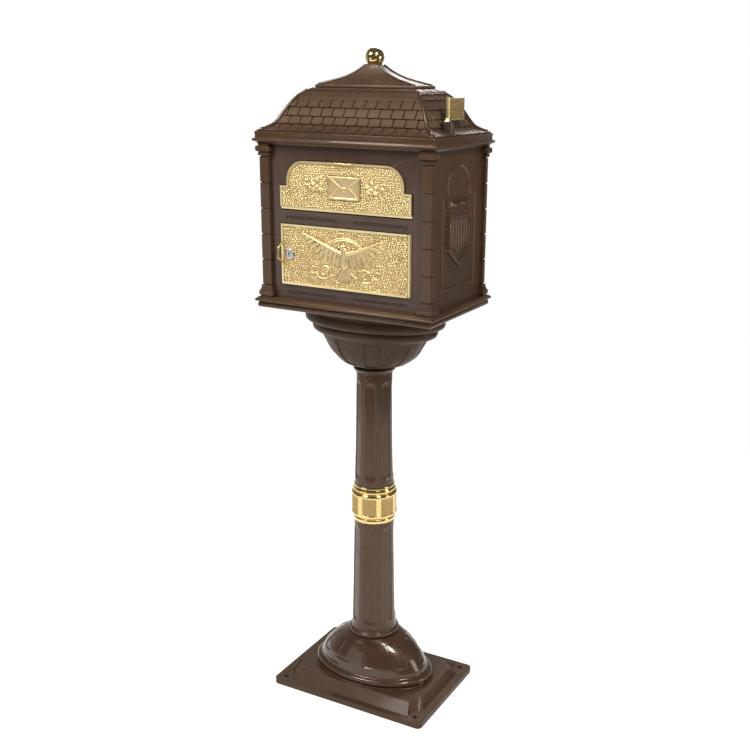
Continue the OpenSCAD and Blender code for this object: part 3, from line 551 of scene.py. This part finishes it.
def hammer(u, v, cell, seed):
    """Heights from 0 to 1 of rounded pebbles about cell wide, over the grid of u by v."""
    gen = np.random.default_rng(seed)
    period = 64
    jit = gen.random((period, period, 2))
    uu, vv = np.meshgrid(u / (cell * 1.25), v / cell)
    skew = uu + 0.35 * vv
    iu, iv = np.floor(skew).astype(int), np.floor(vv).astype(int)
    best, nxt = np.full(uu.shape, 9.0), np.full(uu.shape, 9.0)
    for du in (-1, 0, 1):
        for dv in (-1, 0, 1):
            j = jit[(iu + du) % period, (iv + dv) % period]
            d = np.hypot(skew - (iu + du + 0.1 + 0.8 * j[..., 0]),
                         vv - (iv + dv + 0.1 + 0.8 * j[..., 1]))
            nxt = np.minimum(nxt, np.maximum(best, d))
            best = np.minimum(best, d)
    return np.clip((nxt - best) * 1.7, 0, 1) ** 0.6


def blur(h, n):
    """Mean over a square of 2n + 1 points, taken twice."""
    for _ in range(2):
        for axis in (0, 1):
            pad = [(0, 0), (0, 0)]
            pad[axis] = (n + 1, n)
            c = np.cumsum(np.pad(h, pad, mode="edge"), axis=axis)
            hi = np.take(c, range(2 * n + 1, c.shape[axis]), axis=axis)
            lo = np.take(c, range(0, c.shape[axis] - 2 * n - 1), axis=axis)
            h = (hi - lo) / (2 * n + 1)
    return h


def shade_and_highlight_of(h, reach, gain, lift=0.0):
    """Painted shading of a height field: 0, painted shade, in its creases, 1, painted highlight, on its
    crests.
    """
    return np.clip(0.55 + gain * (h - blur(h, reach)) + lift, 0, 1)


def facing_skin(name, us, vs, height, keep, body, tone, node):
    """A height field on a door's face, which looks to -Y: columns us along X, rows vs along Z."""
    drop = 0.4  # how far the edge is let into the door
    h = np.where(keep, height, -drop)
    uu, vv = np.meshgrid(us, vs)
    v = np.stack([uu, FIELD_Y - h, vv], -1).reshape(-1, 3)
    n = uu.shape[1]
    quad = keep[:-1, :-1] | keep[1:, :-1] | keep[:-1, 1:] | keep[1:, 1:]
    ii, jj = np.nonzero(quad)
    faces = np.stack([ii * n + jj, ii * n + jj + 1, (ii + 1) * n + jj + 1, (ii + 1) * n + jj], -1)
    ids, inv = np.unique(faces, return_inverse=True)
    finish_mesh(name, v[ids], inv.reshape(-1, 4).tolist(), M["field"], body, angle=80, replaces=(node,),
                slot="brass", tone=np.ravel(tone)[ids])


def mail_inset(u, v):
    """Distance inside the mail door's outline, negative outside."""
    x = np.abs(u)
    low = np.minimum(159 - x, np.minimum(v - 1164.4, 1215 - v))
    mid = np.minimum(142 - x, np.minimum(v - 1164.4, 1268.5 - v))
    dx, dz = x - 100, v - 1226.5
    corner = 42 - np.hypot(dx, dz)
    mid = np.where((dx > 0) & (dz > 0), corner, mid)
    both = np.where(v < 1215, np.maximum(low, mid), mid)
    return np.where((x > 142) & (v < 1215), low, both)


def stroke(uu, vv, path, r0, r1, h, sharp=0.5):
    """Height of a rounded stroke along a path whose half width runs from r0 to r1."""
    out = np.full(uu.shape, -1.0)
    p = np.array(path, float)
    seg = np.linalg.norm(np.diff(p, axis=0), axis=1)
    total, run = seg.sum(), 0.0
    for a, b, l in zip(p[:-1], p[1:], seg):
        t = np.clip(((uu - a[0]) * (b[0] - a[0]) + (vv - a[1]) * (b[1] - a[1])) / (l * l), 0, 1)
        d = np.hypot(uu - a[0] - t * (b[0] - a[0]), vv - a[1] - t * (b[1] - a[1]))
        r = r0 + (r1 - r0) * (run + t * l) / total
        q = 1 - (d / r) ** 2
        out = np.maximum(out, np.where(q > 0, h * np.clip(q, 0, 1) ** sharp, -1))
        run += l
    return out


def blob(uu, vv, c, a, b, h, turn=0.0, sharp=0.5):
    """Height of a rounded oval with half axes a and b, turned by an angle in radians."""
    ct, st = math.cos(turn), math.sin(turn)
    x, y = (uu - c[0]) * ct + (vv - c[1]) * st, -(uu - c[0]) * st + (vv - c[1]) * ct
    q = 1 - (x / a) ** 2 - (y / b) ** 2
    return np.where(q > 0, h * np.clip(q, 0, 1) ** sharp, -1)


def feather(uu, vv, root, angle, length, width, h):
    """A vane with a raised quill, from root outward at an angle in degrees."""
    d = np.array([math.cos(math.radians(angle)), math.sin(math.radians(angle))])
    x = (uu - root[0]) * d[0] + (vv - root[1]) * d[1]
    y = -(uu - root[0]) * d[1] + (vv - root[1]) * d[0]
    t = x / length
    tip = np.sqrt(1 - np.clip((t - 0.55) / 0.45, 0, 1) ** 2)
    w = width * tip * np.clip(0.65 + 0.5 * t, 0.3, 1)
    q = np.where((t > -0.05) & (t < 1), 1 - (y / np.maximum(w, 0.01)) ** 2, -1)
    vane = h * (0.55 + 0.45 * np.clip(q, 0, 1) ** 0.5) * (1 - 0.25 * np.clip(t, 0, 1))
    vane = vane + 0.35 * np.exp(-(y / 0.55) ** 2) * (q > 0)
    return np.where(q > 0, vane, -1)


def spiral(centre, r0, r1, a0, a1, n=36):
    t = np.linspace(0, 1, n)
    a = np.radians(a0 + (a1 - a0) * t)
    r = r0 + (r1 - r0) * t
    return np.stack([centre[0] + r * np.cos(a), centre[1] + r * np.sin(a)], -1)


def bird(uu, vv):
    """Heights of a plain long-winged bird under a ribbon, with a scroll on each side."""
    h = np.full(uu.shape, -1.0)
    for s in (-1, 1):
        x = uu * s
        bone = np.array([(7, 1081), (26, 1086), (48, 1095), (76, 1107), (104, 1118)], float)
        ts = np.linspace(0, 1, 60) * 4
        along = np.stack([np.interp(ts, range(5), bone[:, i]) for i in (0, 1)], -1)
        for k in range(10):
            t = k / 9
            root = along[int(6 + t * 48)]
            vane = feather(x, vv, root, -80 + 76 * t**1.15, 33 - 21 * t**3,
                           5.6 - 1.6 * t, 3.0 + 0.6 * (k % 2))
            h = np.maximum(h, vane)
        for k in range(8):
            t = k / 7
            root = along[int(4 + t * 46)]
            vane = feather(x, vv, root, -72 + 70 * t**1.15, 17.5 - 6 * t**2,
                           4.6 - 1.0 * t, 4.2 + 0.5 * (k % 2))
            h = np.maximum(h, vane)
        h = np.maximum(h, stroke(x, vv, bone, 6.0, 2.0, 5.4))
        h = np.maximum(h, stroke(x, vv, spiral((50, 1038), 15, 4.0, 200, -190), 2.5, 1.6, 3.0))
        h = np.maximum(h, stroke(x, vv, [(35.8, 1033), (29, 1030.5), (22, 1034), (15, 1041)], 2.5, 1.4, 3.0))
        h = np.maximum(h, stroke(x, vv, spiral((79, 1042), 10, 3.0, 230, 560), 2.1, 1.3, 2.7))
        tail = [(72.6, 1034.4), (66, 1026), (57, 1022.4), (46, 1023.4)]
        h = np.maximum(h, stroke(x, vv, tail, 2.1, 2.3, 2.8))
    for k in range(5):
        out = k - 2
        vane = feather(uu, vv, (out * 2.0, 1049), -90 + out * 13, 30 - abs(out) * 1.2,
                       4.3, 3.3 + 0.5 * (k % 2))
        h = np.maximum(h, vane)
    h = np.maximum(h, blob(uu, vv, (0, 1065), 13, 21, 6.6))
    for row in range(6):
        for col in range(-2, 3):
            c = (col * 5.2 - (row % 2) * 2.6, 1079 - row * 5.6)
            ring = blob(uu, vv, c, 3.0, 3.8, 0.7)
            h = np.where((ring > 0) & (h > 4.0), h + ring, h)
    h = np.maximum(h, stroke(uu, vv, [(0, 1079), (-1.5, 1087), (-4, 1093)], 8.6, 6.2, 6.4))
    h = np.maximum(h, blob(uu, vv, (-5, 1094.5), 7.6, 6.2, 6.8, 0.2))
    h = np.maximum(h, stroke(uu, vv, [(-10, 1094.5), (-15.5, 1093), (-18, 1089.5)], 2.9, 1.0, 5.0))
    eye = blob(uu, vv, (-7, 1096), 1.6, 1.6, 1.4)
    h = np.where(eye > 0, h - eye, h)
    arc = [(52 * math.sin(t), 1064 + 47 * math.cos(t)) for t in np.radians(np.linspace(-50, 50, 40))]
    rib = stroke(uu, vv, arc, 4.0, 4.0, 3.4, 0.3)
    line = stroke(uu, vv, arc, 1.5, 1.5, 1.2, 0.5)
    h = np.maximum(h, np.where(line > 0, rib - line, rib))
    for s in (-1, 1):
        end = [(40, 1094), (45, 1090), (43, 1085), (49, 1081.6)]
        h = np.maximum(h, stroke(uu * s, vv, end, 3.4, 1.4, 3.0, 0.35))
    return h


def bar(uu, vv, a, b, r, h):
    return stroke(uu, vv, [a, b], r, r, h, 0.3)


def envelope(uu, vv):
    """Heights of a plain envelope between two rosettes and two curls."""
    x, z = np.abs(uu), vv - 1217
    q = np.hypot(np.maximum(x - 35, 0), np.maximum(np.abs(z) - 20.5, 0))
    h = np.where(q < 3.4, 3.4 + 1.0 * step_up(3.4 - q, 0, 1.4), -1.0)
    h = np.where((x < 34.5) & (np.abs(z) < 20), 3.0, h)
    for s in (-1, 1):
        h = np.maximum(h, bar(uu * s, vv, (36, 1238.5), (0, 1213.5), 2.2, 4.9))
        h = np.maximum(h, bar(uu * s, vv, (35.5, 1196), (12, 1219), 1.7, 4.3))
    h = np.maximum(h, blob(uu, vv, (0, 1214.5), 6.2, 6.2, 5.8, 0, 0.35))
    h = np.where(blob(uu, vv, (0, 1214.5), 3.8, 3.8, 1) > 0, 4.9, h)
    for s in (-1, 1):
        c = (66, 1217)
        for k in range(6):
            a = math.radians(60 * k + 30)
            inner, middle, outer = ((c[0] + d * math.cos(a), c[1] + d * math.sin(a)) for d in (5, 10.5, 15))
            h = np.maximum(h, blob(uu * s, vv, middle, 7.6, 4.9, 4.0, a))
            vein = stroke(uu * s, vv, [inner, outer], 1.2, 0.7, 1.4)
            h = np.where(vein > 0, h - vein, h)
        h = np.maximum(h, blob(uu * s, vv, c, 5.2, 5.2, 5.6))
        h = np.maximum(h, stroke(uu * s, vv, spiral((93, 1227), 2.0, 8.0, 500, 230, 24), 1.6, 2.2, 3.2))
        tail = [(87.9, 1220.9), (84, 1212), (88, 1203), (96, 1199)]
        h = np.maximum(h, stroke(uu * s, vv, tail, 2.2, 1.4, 3.2))
    return h


def door_face(name, us, vs, relief_of, seed, keep, body, node):
    """A hammered field with a relief on it, over the part of the grid that keep picks."""
    uu, vv = np.meshgrid(us, vs)
    relief, grain = relief_of(uu, vv), 0.1 + 1.5 * hammer(us, vs, 4.7, seed)
    h = np.maximum(grain, relief)
    # painted shade in the creases and painted highlight on the crests, lifted further on the relief as painted
    # highlight
    tone = shade_and_highlight_of(h, 4, 0.3, 0.3 * (relief > grain))
    facing_skin(name, us, vs, h, keep(uu, vv), body, tone, node)


def door_faces():
    step = 0.75
    door_face("mail_door_face", np.arange(-156.5, 156.6, step), np.arange(1171.5, 1267, step), envelope, 3,
              lambda u, v: mail_inset(u, v) > 2.6, "mail_door", "mail_emblem")
    door_face("lock_door_face", np.arange(-156.5, 150.6, step), np.arange(1005, 1131.1, step), bird, 5,
              lambda u, v: np.hypot(u - LOCK_X, v - LOCK_Z) > 10.5, "lock_door", "lock_emblem")


# ---------------------------------------------------------------- side panels
def polygon_distance(px, pz, points):
    """Distance to a closed outline, positive inside."""
    pts = np.array(points, float)
    best = np.full(px.shape, 1e9)
    inside = np.zeros(px.shape, bool)
    for a, b in zip(pts, np.roll(pts, -1, 0)):
        d = b - a
        t = np.clip(((px - a[0]) * d[0] + (pz - a[1]) * d[1]) / (d @ d), 0, 1)
        best = np.minimum(best, np.hypot(px - a[0] - t * d[0], pz - a[1] - t * d[1]))
        if a[1] != b[1]:
            cross = (a[1] > pz) != (b[1] > pz)
            inside ^= cross & (px < (b[0] - a[0]) * (pz - a[1]) / (b[1] - a[1]) + a[0])
    return np.where(inside, best, -best)


RELIEF = 7.5  # height of the side shields' border above the panel


def side_panels():
    """Both side castings: a beaded arch frame and a fluted shield on a flat panel."""
    lo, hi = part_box("right_panel")
    y0, y1, z0, z1 = lo[1] / MM, hi[1] / MM, lo[2] / MM, hi[2] / MM
    ys, zs = np.linspace(y0, y1, 150), np.linspace(z0, z1, 260)
    yy, zz = np.meshgrid(ys, zs)
    shoulders = [(-79, 1010), (79, 1010), (79, 1208), (57, 1208), (57, 1213)]
    shoulders += [(57 * math.cos(t), 1213 + 57 * math.sin(t)) for t in np.radians(np.arange(7.5, 90, 7.5))]
    shoulders += [(0, 1270)] + [(-x, z) for x, z in shoulders[:1:-1]]
    arch = polygon_distance(yy, zz, shoulders)
    half = [(0, 1194), (11, 1191.4), (23, 1190), (34, 1192), (43, 1196), (48, 1186), (51, 1174), (53, 1151),
            (53.5, 1130), (53.5, 1094.5)]
    shield = polygon_distance(yy, zz, half + [(0, 1056)] + [(-x, z) for x, z in half[:0:-1]])
    h = 3.8 * np.clip(1 - ((arch - 2.6) / 2.9) ** 2, 0, 1) ** 0.5
    plate = 4.0 * step_up(shield, 0, 1.6)
    border = RELIEF * np.clip(1 - ((shield - 2.8) / 2.9) ** 2, 0, 1) ** 0.4
    band = 1.6 * np.clip(1 - ((zz - 1161.5) / 2.4) ** 2, 0, 1) ** 0.5 * (shield > 4)
    pitch = 12.6
    off = (yy / pitch + 0.5) % 1.0 - 0.5
    column = np.round(yy / pitch)
    foot = 1088 + 5.4 * np.abs(column)
    inside = np.minimum(4.6 - np.abs(off) * pitch, np.minimum(zz - foot, 1157 - zz))
    u = np.hypot(off * pitch, np.maximum(zz - 1152.4, 0) + np.maximum(foot + 4.6 - zz, 0))
    ribbed = (np.abs(column) < 4) & (inside > -0.5) & (shield > 3.5)
    rib = 1.8 * np.clip(1 - (u / 4.8) ** 2, 0, 1) ** 0.45 * ribbed
    h = np.maximum(h, np.maximum(border, plate + np.maximum(band, rib)))
    h = h * step_up(np.minimum(yy - y0, y1 - yy), 0.5, 2.0)
    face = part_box("right_panel")[1][0] / MM - RELIEF
    inner = lo[0] / MM
    m, n = yy.shape
    rim = list(range(n)) + [i * n + n - 1 for i in range(1, m)]
    rim += [(m - 1) * n + j for j in range(n - 2, -1, -1)] + [i * n for i in range(m - 2, 0, -1)]
    for s, node in ((1, "right_panel"), (-1, "left_panel")):
        front = np.stack([s * (face + h), yy, zz], -1).reshape(-1, 3)
        back = front[rim].copy()
        back[:, 0] = s * inner
        k = np.arange(len(rim))
        wall = np.stack([np.array(rim), m * n + k, m * n + (k + 1) % len(rim), np.roll(rim, -1)], -1).tolist()
        faces = grid_faces(m, n, flip=s < 0) + [f if s > 0 else f[::-1] for f in wall]
        cap_face = (m * n + k).tolist()
        faces.append(cap_face[::-1] if s > 0 else cap_face)
        finish_mesh(node + "_casting", np.concatenate([front, back]), faces, M["bronze"], BOX, angle=50,
                    replaces=(node,), slot="bronze_coat")


# ---------------------------------------------------------------- roof
ROOF_X, ROOF_Y = 217.0, 140.0
# (height, how far the slope stands in from the roof's lower edge)
HIP = [(1326, 3), (1328.5, 13), (1332, 22), (1335, 27.5), (1342, 34.4), (1350, 39), (1358, 43.6),
       (1366, 47.6), (1378, 54.6), (1386, 59.8), (1394, 66.6), (1403, 74), (1411, 82.6), (1416.6, 92)]
COURSES = (1326.5, 1341, 1358, 1376, 1395)  # heights where the shingle rows begin and end
# (height, how far the frieze stands out from the front and back slopes)
FRIEZE = [(1393.6, -2.0), (1394, 1.2), (1395.5, 1.4), (1397, 1.8), (1400, 1.6), (1404, 1.0), (1408.4, 0.6),
          (1408.8, -0.5), (1410, -0.7), (1410.4, 0.6), (1413, 1.0), (1413.4, 2.4), (1416.6, 3.6)]
SHINGLE = 28.0  # width


def inset(z):
    """How far the roof's surface stands in from its lower edge at height z."""
    hz, hd = np.array(HIP).T
    return np.interp(z, hz, hd)


def slope_normal(z):
    """Outward and upward parts of the slope's normal at height z."""
    g = (inset(z + 2.5) - inset(z - 2.5)) / 5.0
    l = np.sqrt(1 + g * g)
    return 1 / l, g / l


def shingle(parts, side, u0, u1, z0, z1, thick):
    """One shingle on a side of the roof, thicker at its lower edge, trimmed along the hips."""
    rows = 7
    z = np.linspace(z0, z1, rows)
    d = inset(z)
    nout, nup = slope_normal(z)
    reach = (ROOF_X if side in (0, 2) else ROOF_Y) - d - 1.5
    depth = (ROOF_Y if side in (0, 2) else ROOF_X) - d
    bow = thick + (0.35 - thick) * np.linspace(0, 1, rows)
    gap = 1.2 if side in (0, 2) else 1.9
    near, far = [], []
    for lift, cut in ((-0.6, 0.0), (bow - 0.35, 0.0), (bow, 0.35)):
        lo = np.clip(u0 + gap + cut, -reach, reach)
        hi = np.clip(u1 - gap - cut, -reach, reach)
        zz = z.copy()
        zz[0] += cut
        for u, edge in ((lo, near), (hi, far)):
            edge.append(np.stack([u, -(depth + nout * lift), zz + nup * lift], -1))
    if np.all(hi - lo < 0.6):
        return
    v = np.stack(near + far[::-1], 0).reshape(-1, 3)
    ang = side * math.pi / 2
    c, s = math.cos(ang), math.sin(ang)
    v = np.stack([v[:, 0] * c - v[:, 1] * s, v[:, 0] * s + v[:, 1] * c, v[:, 2]], -1)
    faces = grid_faces(6, rows, flip=True)
    ends = [[k * rows for k in range(6)], [k * rows + rows - 1 for k in range(6)][::-1]]
    parts.add(v, faces + ends)


def roof():
    """The shell under the shingles, coated near black as painted shade in the gaps, the frieze, the shingles
    and the hip ribs.
    """
    body = Parts()
    levels, under = [], 0.9
    for z in np.concatenate([np.arange(1326, 1395, 2.5), [1395]]):
        nout, nup = slope_normal(z)
        d = inset(z) + under * nout
        levels.append((ROOF_X - d, ROOF_Y - d, z - under * nup))
    rect_loft(body, levels, r=2.0)
    body.build("roof_shell", M["gap"], BOX, angle=40, replaces=("roof",), slot="bronze_coat")
    body = Parts()
    rect_loft(body, [(ROOF_X - inset(z) - 1.0, ROOF_Y - inset(z) + o, z) for z, o in FRIEZE], r=2.0)
    body.build("roof_frieze", M["roof"], BOX, angle=40, slot="bronze_coat")
    tiles = Parts()
    for side in range(4):
        half = ROOF_X if side in (0, 2) else ROOF_Y
        rows = COURSES if side in (0, 2) else COURSES + (1405.5, 1416.2)
        for c in range(len(rows) - 1):
            z0, z1 = rows[c], rows[c + 1]
            shift = (0.5 * (c % 2) + 0.13 * c) * SHINGLE
            u = -math.ceil(half / SHINGLE + 1) * SHINGLE + shift
            while u < half:
                w = SHINGLE * (1 + 0.06 * (rng.random() - 0.5))
                shingle(tiles, side, u, u + w, z0, z1 + 0.4, 2.5 + 0.35 * rng.random())
                u += w
    tiles.build("roof_shingles", M["roof"], BOX, angle=30, slot="bronze_coat")
    ribs = Parts()
    zs = np.linspace(1328, 1411.5, 34)
    for sx in (-1, 1):
        for sy in (-1, 1):
            d = inset(zs)
            d = np.convolve(np.pad(d, 2, mode="edge"), np.ones(5) / 5, "valid")
            d[0], d[1] = inset(zs[0]), inset(zs[1])
            path = np.stack([sx * (ROOF_X - d - 0.6), sy * (ROOF_Y - d - 0.6), zs + 0.8], -1)
            radius = 4.8 - 2.5 * step_up(zs, 1396, 1411)
            tube(ribs, path, radius, 16, up=(sx * 0.6, sy * 0.6, 0.5))
    ribs.build("roof_hip_ribs", M["gloss"], BOX, angle=50, slot="bronze_coat")


# (height, half width)
CAP = [(1423.3, 117), (1425, 109), (1427.4, 100), (1430.6, 87), (1433.6, 76), (1437, 65), (1441, 55),
       (1445, 46), (1449, 38.6), (1453, 32), (1457.5, 25.4), (1462, 19.6), (1465, 15.6), (1466.2, 12)]


def cap():
    """The slab and pagoda sweep on top of the roof, its ribs and the ball."""
    body = Parts()
    slab = [(116, 40, 1415.5), (119.4, 43.3, 1416.7), (121.2, 45.0, 1417.6), (121.5, 45.3, 1418.6),
            (121.5, 45.3, 1421.6), (120.8, 44.6, 1423.0), (119.6, 43.4, 1423.4)]
    sweep = smooth_levels([(x, 13 + (x - 13) * 0.26, z) for z, x in CAP], 2.5)
    rect_loft(body, slab + [tuple(s) for s in sweep], r=1.2)
    body.build("cap_sweep", M["roof"], BOX, angle=35, replaces=("roof_cap",), slot="bronze_coat")
    ribs = Parts()
    for sx in (-1, 1):
        for sy in (-1, 1):
            path = np.array([(sx * (s[0] - 1.2), sy * (s[1] - 1.2), s[2] + 0.3) for s in sweep])[:-2]
            tube(ribs, path, np.linspace(3.2, 2.3, len(path)), 12, up=(sx * 0.3, sy * 0.6, 0.7))
    ribs.build("cap_ribs", M["gloss"], BOX, angle=50, slot="bronze_coat")
    ball = Parts()
    prof = [(0, 1461), (9.5, 1461), (11.6, 1462), (12.2, 1463.6), (11.8, 1464.6)]
    prof += [(20 * math.cos(t), 1480 + 20 * math.sin(t)) for t in np.radians(np.linspace(-48, 90, 48))]
    lathe(ball, prof, 96)
    ball.build("finial_ball", M["polished"], BOX, angle=30, replaces=("finial",), slot="brass")


# ---------------------------------------------------------------- mouldings of the box
# (half x, half y, height)
BOTTOM = [(205, 134, 952), (205, 134, 947), (211.6, 141.4, 947), (213, 142.8, 947.4), (214.4, 144.2, 948.8),
          (214.9, 144.7, 951), (214.9, 144.7, 954), (214.3, 144.1, 956.4), (213.6, 143.4, 957.8),
          (212.9, 142.7, 958.6), (212.9, 142.7, 959.6), (213, 142.8, 960.2), (217, 147, 960.4),
          (218.8, 148.8, 961.2), (219.5, 149.5, 962.6), (219.5, 149.5, 964.2), (218.9, 148.8, 965.6),
          (217.6, 147, 966.8), (216.4, 145.2, 967.8), (215.4, 143.4, 968.8), (214.2, 141.6, 970)]
EAVE = [(203, 125, 1300), (210.6, 133.6, 1300), (211.6, 134.6, 1300.6), (212.4, 135.4, 1302),
        (213.6, 136.6, 1303.6), (215.6, 138.6, 1305), (217.6, 140.6, 1305.8), (219.4, 142.4, 1306.6),
        (220, 143, 1307.8), (220, 143, 1310), (219.4, 142.4, 1311.2), (217.4, 140.4, 1311.7),
        (215.9, 138.9, 1312), (215.2, 138.4, 1313.2), (215, 138.2, 1319), (215.6, 138.8, 1322.4),
        (215.9, 139.1, 1324.6), (215.2, 138.6, 1326.2), (210, 134, 1326.8)]


def mouldings():
    for name, levels, node in (("bottom_moulding", BOTTOM, "box_bottom"), ("eave_moulding", EAVE, "eave")):
        parts = Parts()
        rect_loft(parts, levels, r=1.5)
        parts.build(name, M["bronze"], BOX, angle=33, replaces=(node,), slot="bronze_coat")


# ---------------------------------------------------------------- pull, lock face, flag field
FLAG_X, FLAG = 193, (-35.8, 29.8, 1360.2, 1398)  # the hammered part, front to back and foot to top


def door_pull():
    pull = Parts()
    x = -156.7
    path = [(-127.6, 1049), (-131.5, 1051.5), (-138, 1055.6), (-142.6, 1058.8), (-144, 1060.6),
            (-144.2, 1063), (-144.2, 1071.5), (-144.2, 1080), (-144, 1082.4), (-142.6, 1084.2),
            (-138, 1087.4), (-131.5, 1091.5), (-127.6, 1094)]
    tube(pull, smooth_levels([(x, y, z) for y, z in path], 1.5), 2.4, 14, flat=0.95, up=(1, 0, 0))
    for z in (1049.4, 1093.6):
        c = []
        for r, y in ((3.6, -127.8), (3.6, -128.6), (2.9, -129.4), (0.5, -129.6)):
            a = np.linspace(0, 2 * math.pi, 20, endpoint=False)
            c.append(np.stack([x + min(r, 2.2) * np.cos(a) * 0.98, np.full(20, y), z + r * np.sin(a)], -1))
        pull.add(np.array(c), grid_faces(4, 20, wrap_n=True, flip=True))
    pull.build("door_pull", M["satin"], "lock_door", angle=50, replaces=("pull_handle",), slot="brass")


def lock_face():
    """A keyhole coated near black as painted shade, turning with the plug, and painted shade in the gap round
    the plug.
    """
    hole = [(2.1 * math.cos(t), 1.5 + 2.1 * math.sin(t)) for t in np.radians(np.arange(-55, 236, 15))]
    hole += [(-1.2, -4), (1.2, -4)]
    n = len(hole)
    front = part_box("lock_plug")[0][1] / MM
    keyway = Parts()
    keyway.add([[(LOCK_X + x, front + d, LOCK_Z + z) for x, z in hole] for d in (0.4, -0.12)],
               grid_faces(2, n, wrap_n=True) + [list(range(n, 2 * n)), list(range(n))[::-1]])
    keyway.build("lock_keyway_shade", M["dark"], "lock_cam", angle=30, slot="bright_steel")
    n = 48
    a = np.linspace(0, 2 * math.pi, n, endpoint=False)
    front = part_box("lock_body")[0][1] / MM
    ring = Parts()
    ring.add([np.stack([LOCK_X + r * np.cos(a), np.full(n, front + d), LOCK_Z + r * np.sin(a)], -1)
              for r, d in ((6.7, 0.3), (6.7, -0.1), (6.1, -0.1), (6.1, 0.3))], grid_faces(4, n, wrap_n=True))
    ring.build("lock_gap_shade", M["dark"], "lock_door", angle=30, slot="bright_steel")


def flag_fields():
    us, vs = np.arange(FLAG[0], FLAG[1] + 0.1, 0.8), np.arange(FLAG[2], FLAG[3] + 0.1, 0.8)
    uu, vv = np.meshgrid(us, vs)
    for s, name in ((-1, "flag_field_left"), (1, "flag_field_right")):
        grain = hammer(us, vs, 4.4, 21 + s)
        v = np.stack([FLAG_X + s * (1.2 + 0.1 + 1.4 * grain), uu, vv], -1).reshape(-1, 3)
        # tone paints shade in the hammer dents and highlight on their bumps
        finish_mesh(name, v, grid_faces(*uu.shape, flip=s < 0), M["matte"], "flag", angle=80,
                    slot="brass", tone=shade_and_highlight_of(2.4 * grain, 3, 0.34))


# ---------------------------------------------------------------- CAD nodes that stay
def dress(node, mat, width, segments=3):
    """Gives a CAD node its material, soft edges and smooth shading."""
    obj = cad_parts[node]
    for s in obj.material_slots:
        s.material = M[mat]
    weld = obj.modifiers.new("weld", "WELD")
    weld.merge_threshold = 0.00002
    bev = obj.modifiers.new("bevel", "BEVEL")
    bev.width, bev.segments = width * MM, segments
    bev.limit_method, bev.angle_limit = "ANGLE", math.radians(30)
    bev.harden_normals = False
    bpy.context.view_layer.objects.active = obj
    smooth = obj.modifiers.new("normals", "WEIGHTED_NORMAL")
    smooth.keep_sharp = True
    shade(obj.data, 35)


def dress_cad():
    for n in ("pilaster_front_left", "pilaster_front_right", "pilaster_rear_left", "pilaster_rear_right"):
        dress(n, "bronze", 1.1)
    dress("base_plate", "plate", 2.0, 4)
    dress("front_panel", "panel", 0.5, 2)
    dress("rear_panel", "bronze", 0.6, 2)
    dress("mail_door", "satin", 0.7)
    dress("lock_door", "satin", 0.7)
    dress("mail_door_pull", "satin", 0.6)
    dress("flag", "satin", 0.5)
    dress("flag_boss", "panel", 1.0)
    for n in ("lock_body", "lock_plug", "lock_cam", "lock_nut", "mail_door_pins", "lock_door_pins"):
        dress(n, "steel", 0.4, 2)
    for n in ("band_sleeve", "post_spigots", "tie_rod", "tie_nuts", "tie_washers", "corner_bolts",
              "mail_shelf", "flag_screw", "cam_screw"):
        dress(n, "zinc", 0.3, 2)


make_materials()
add_camera()
add_studio()
dress_cad()
oval("base_dome_casting", DOME, 78, 128, "base_dome", "gloss")
oval("bowl_casting", BOWL, 818, 879, "bowl", "plate")
shaft("lower_shaft", LOWER, 172, 420, "lower_post")
shaft("upper_shaft", UPPER, 538, 776, "upper_post")
band()
mouldings()
roof()
cap()
door_faces()
side_panels()
door_pull()
lock_face()
flag_fields()
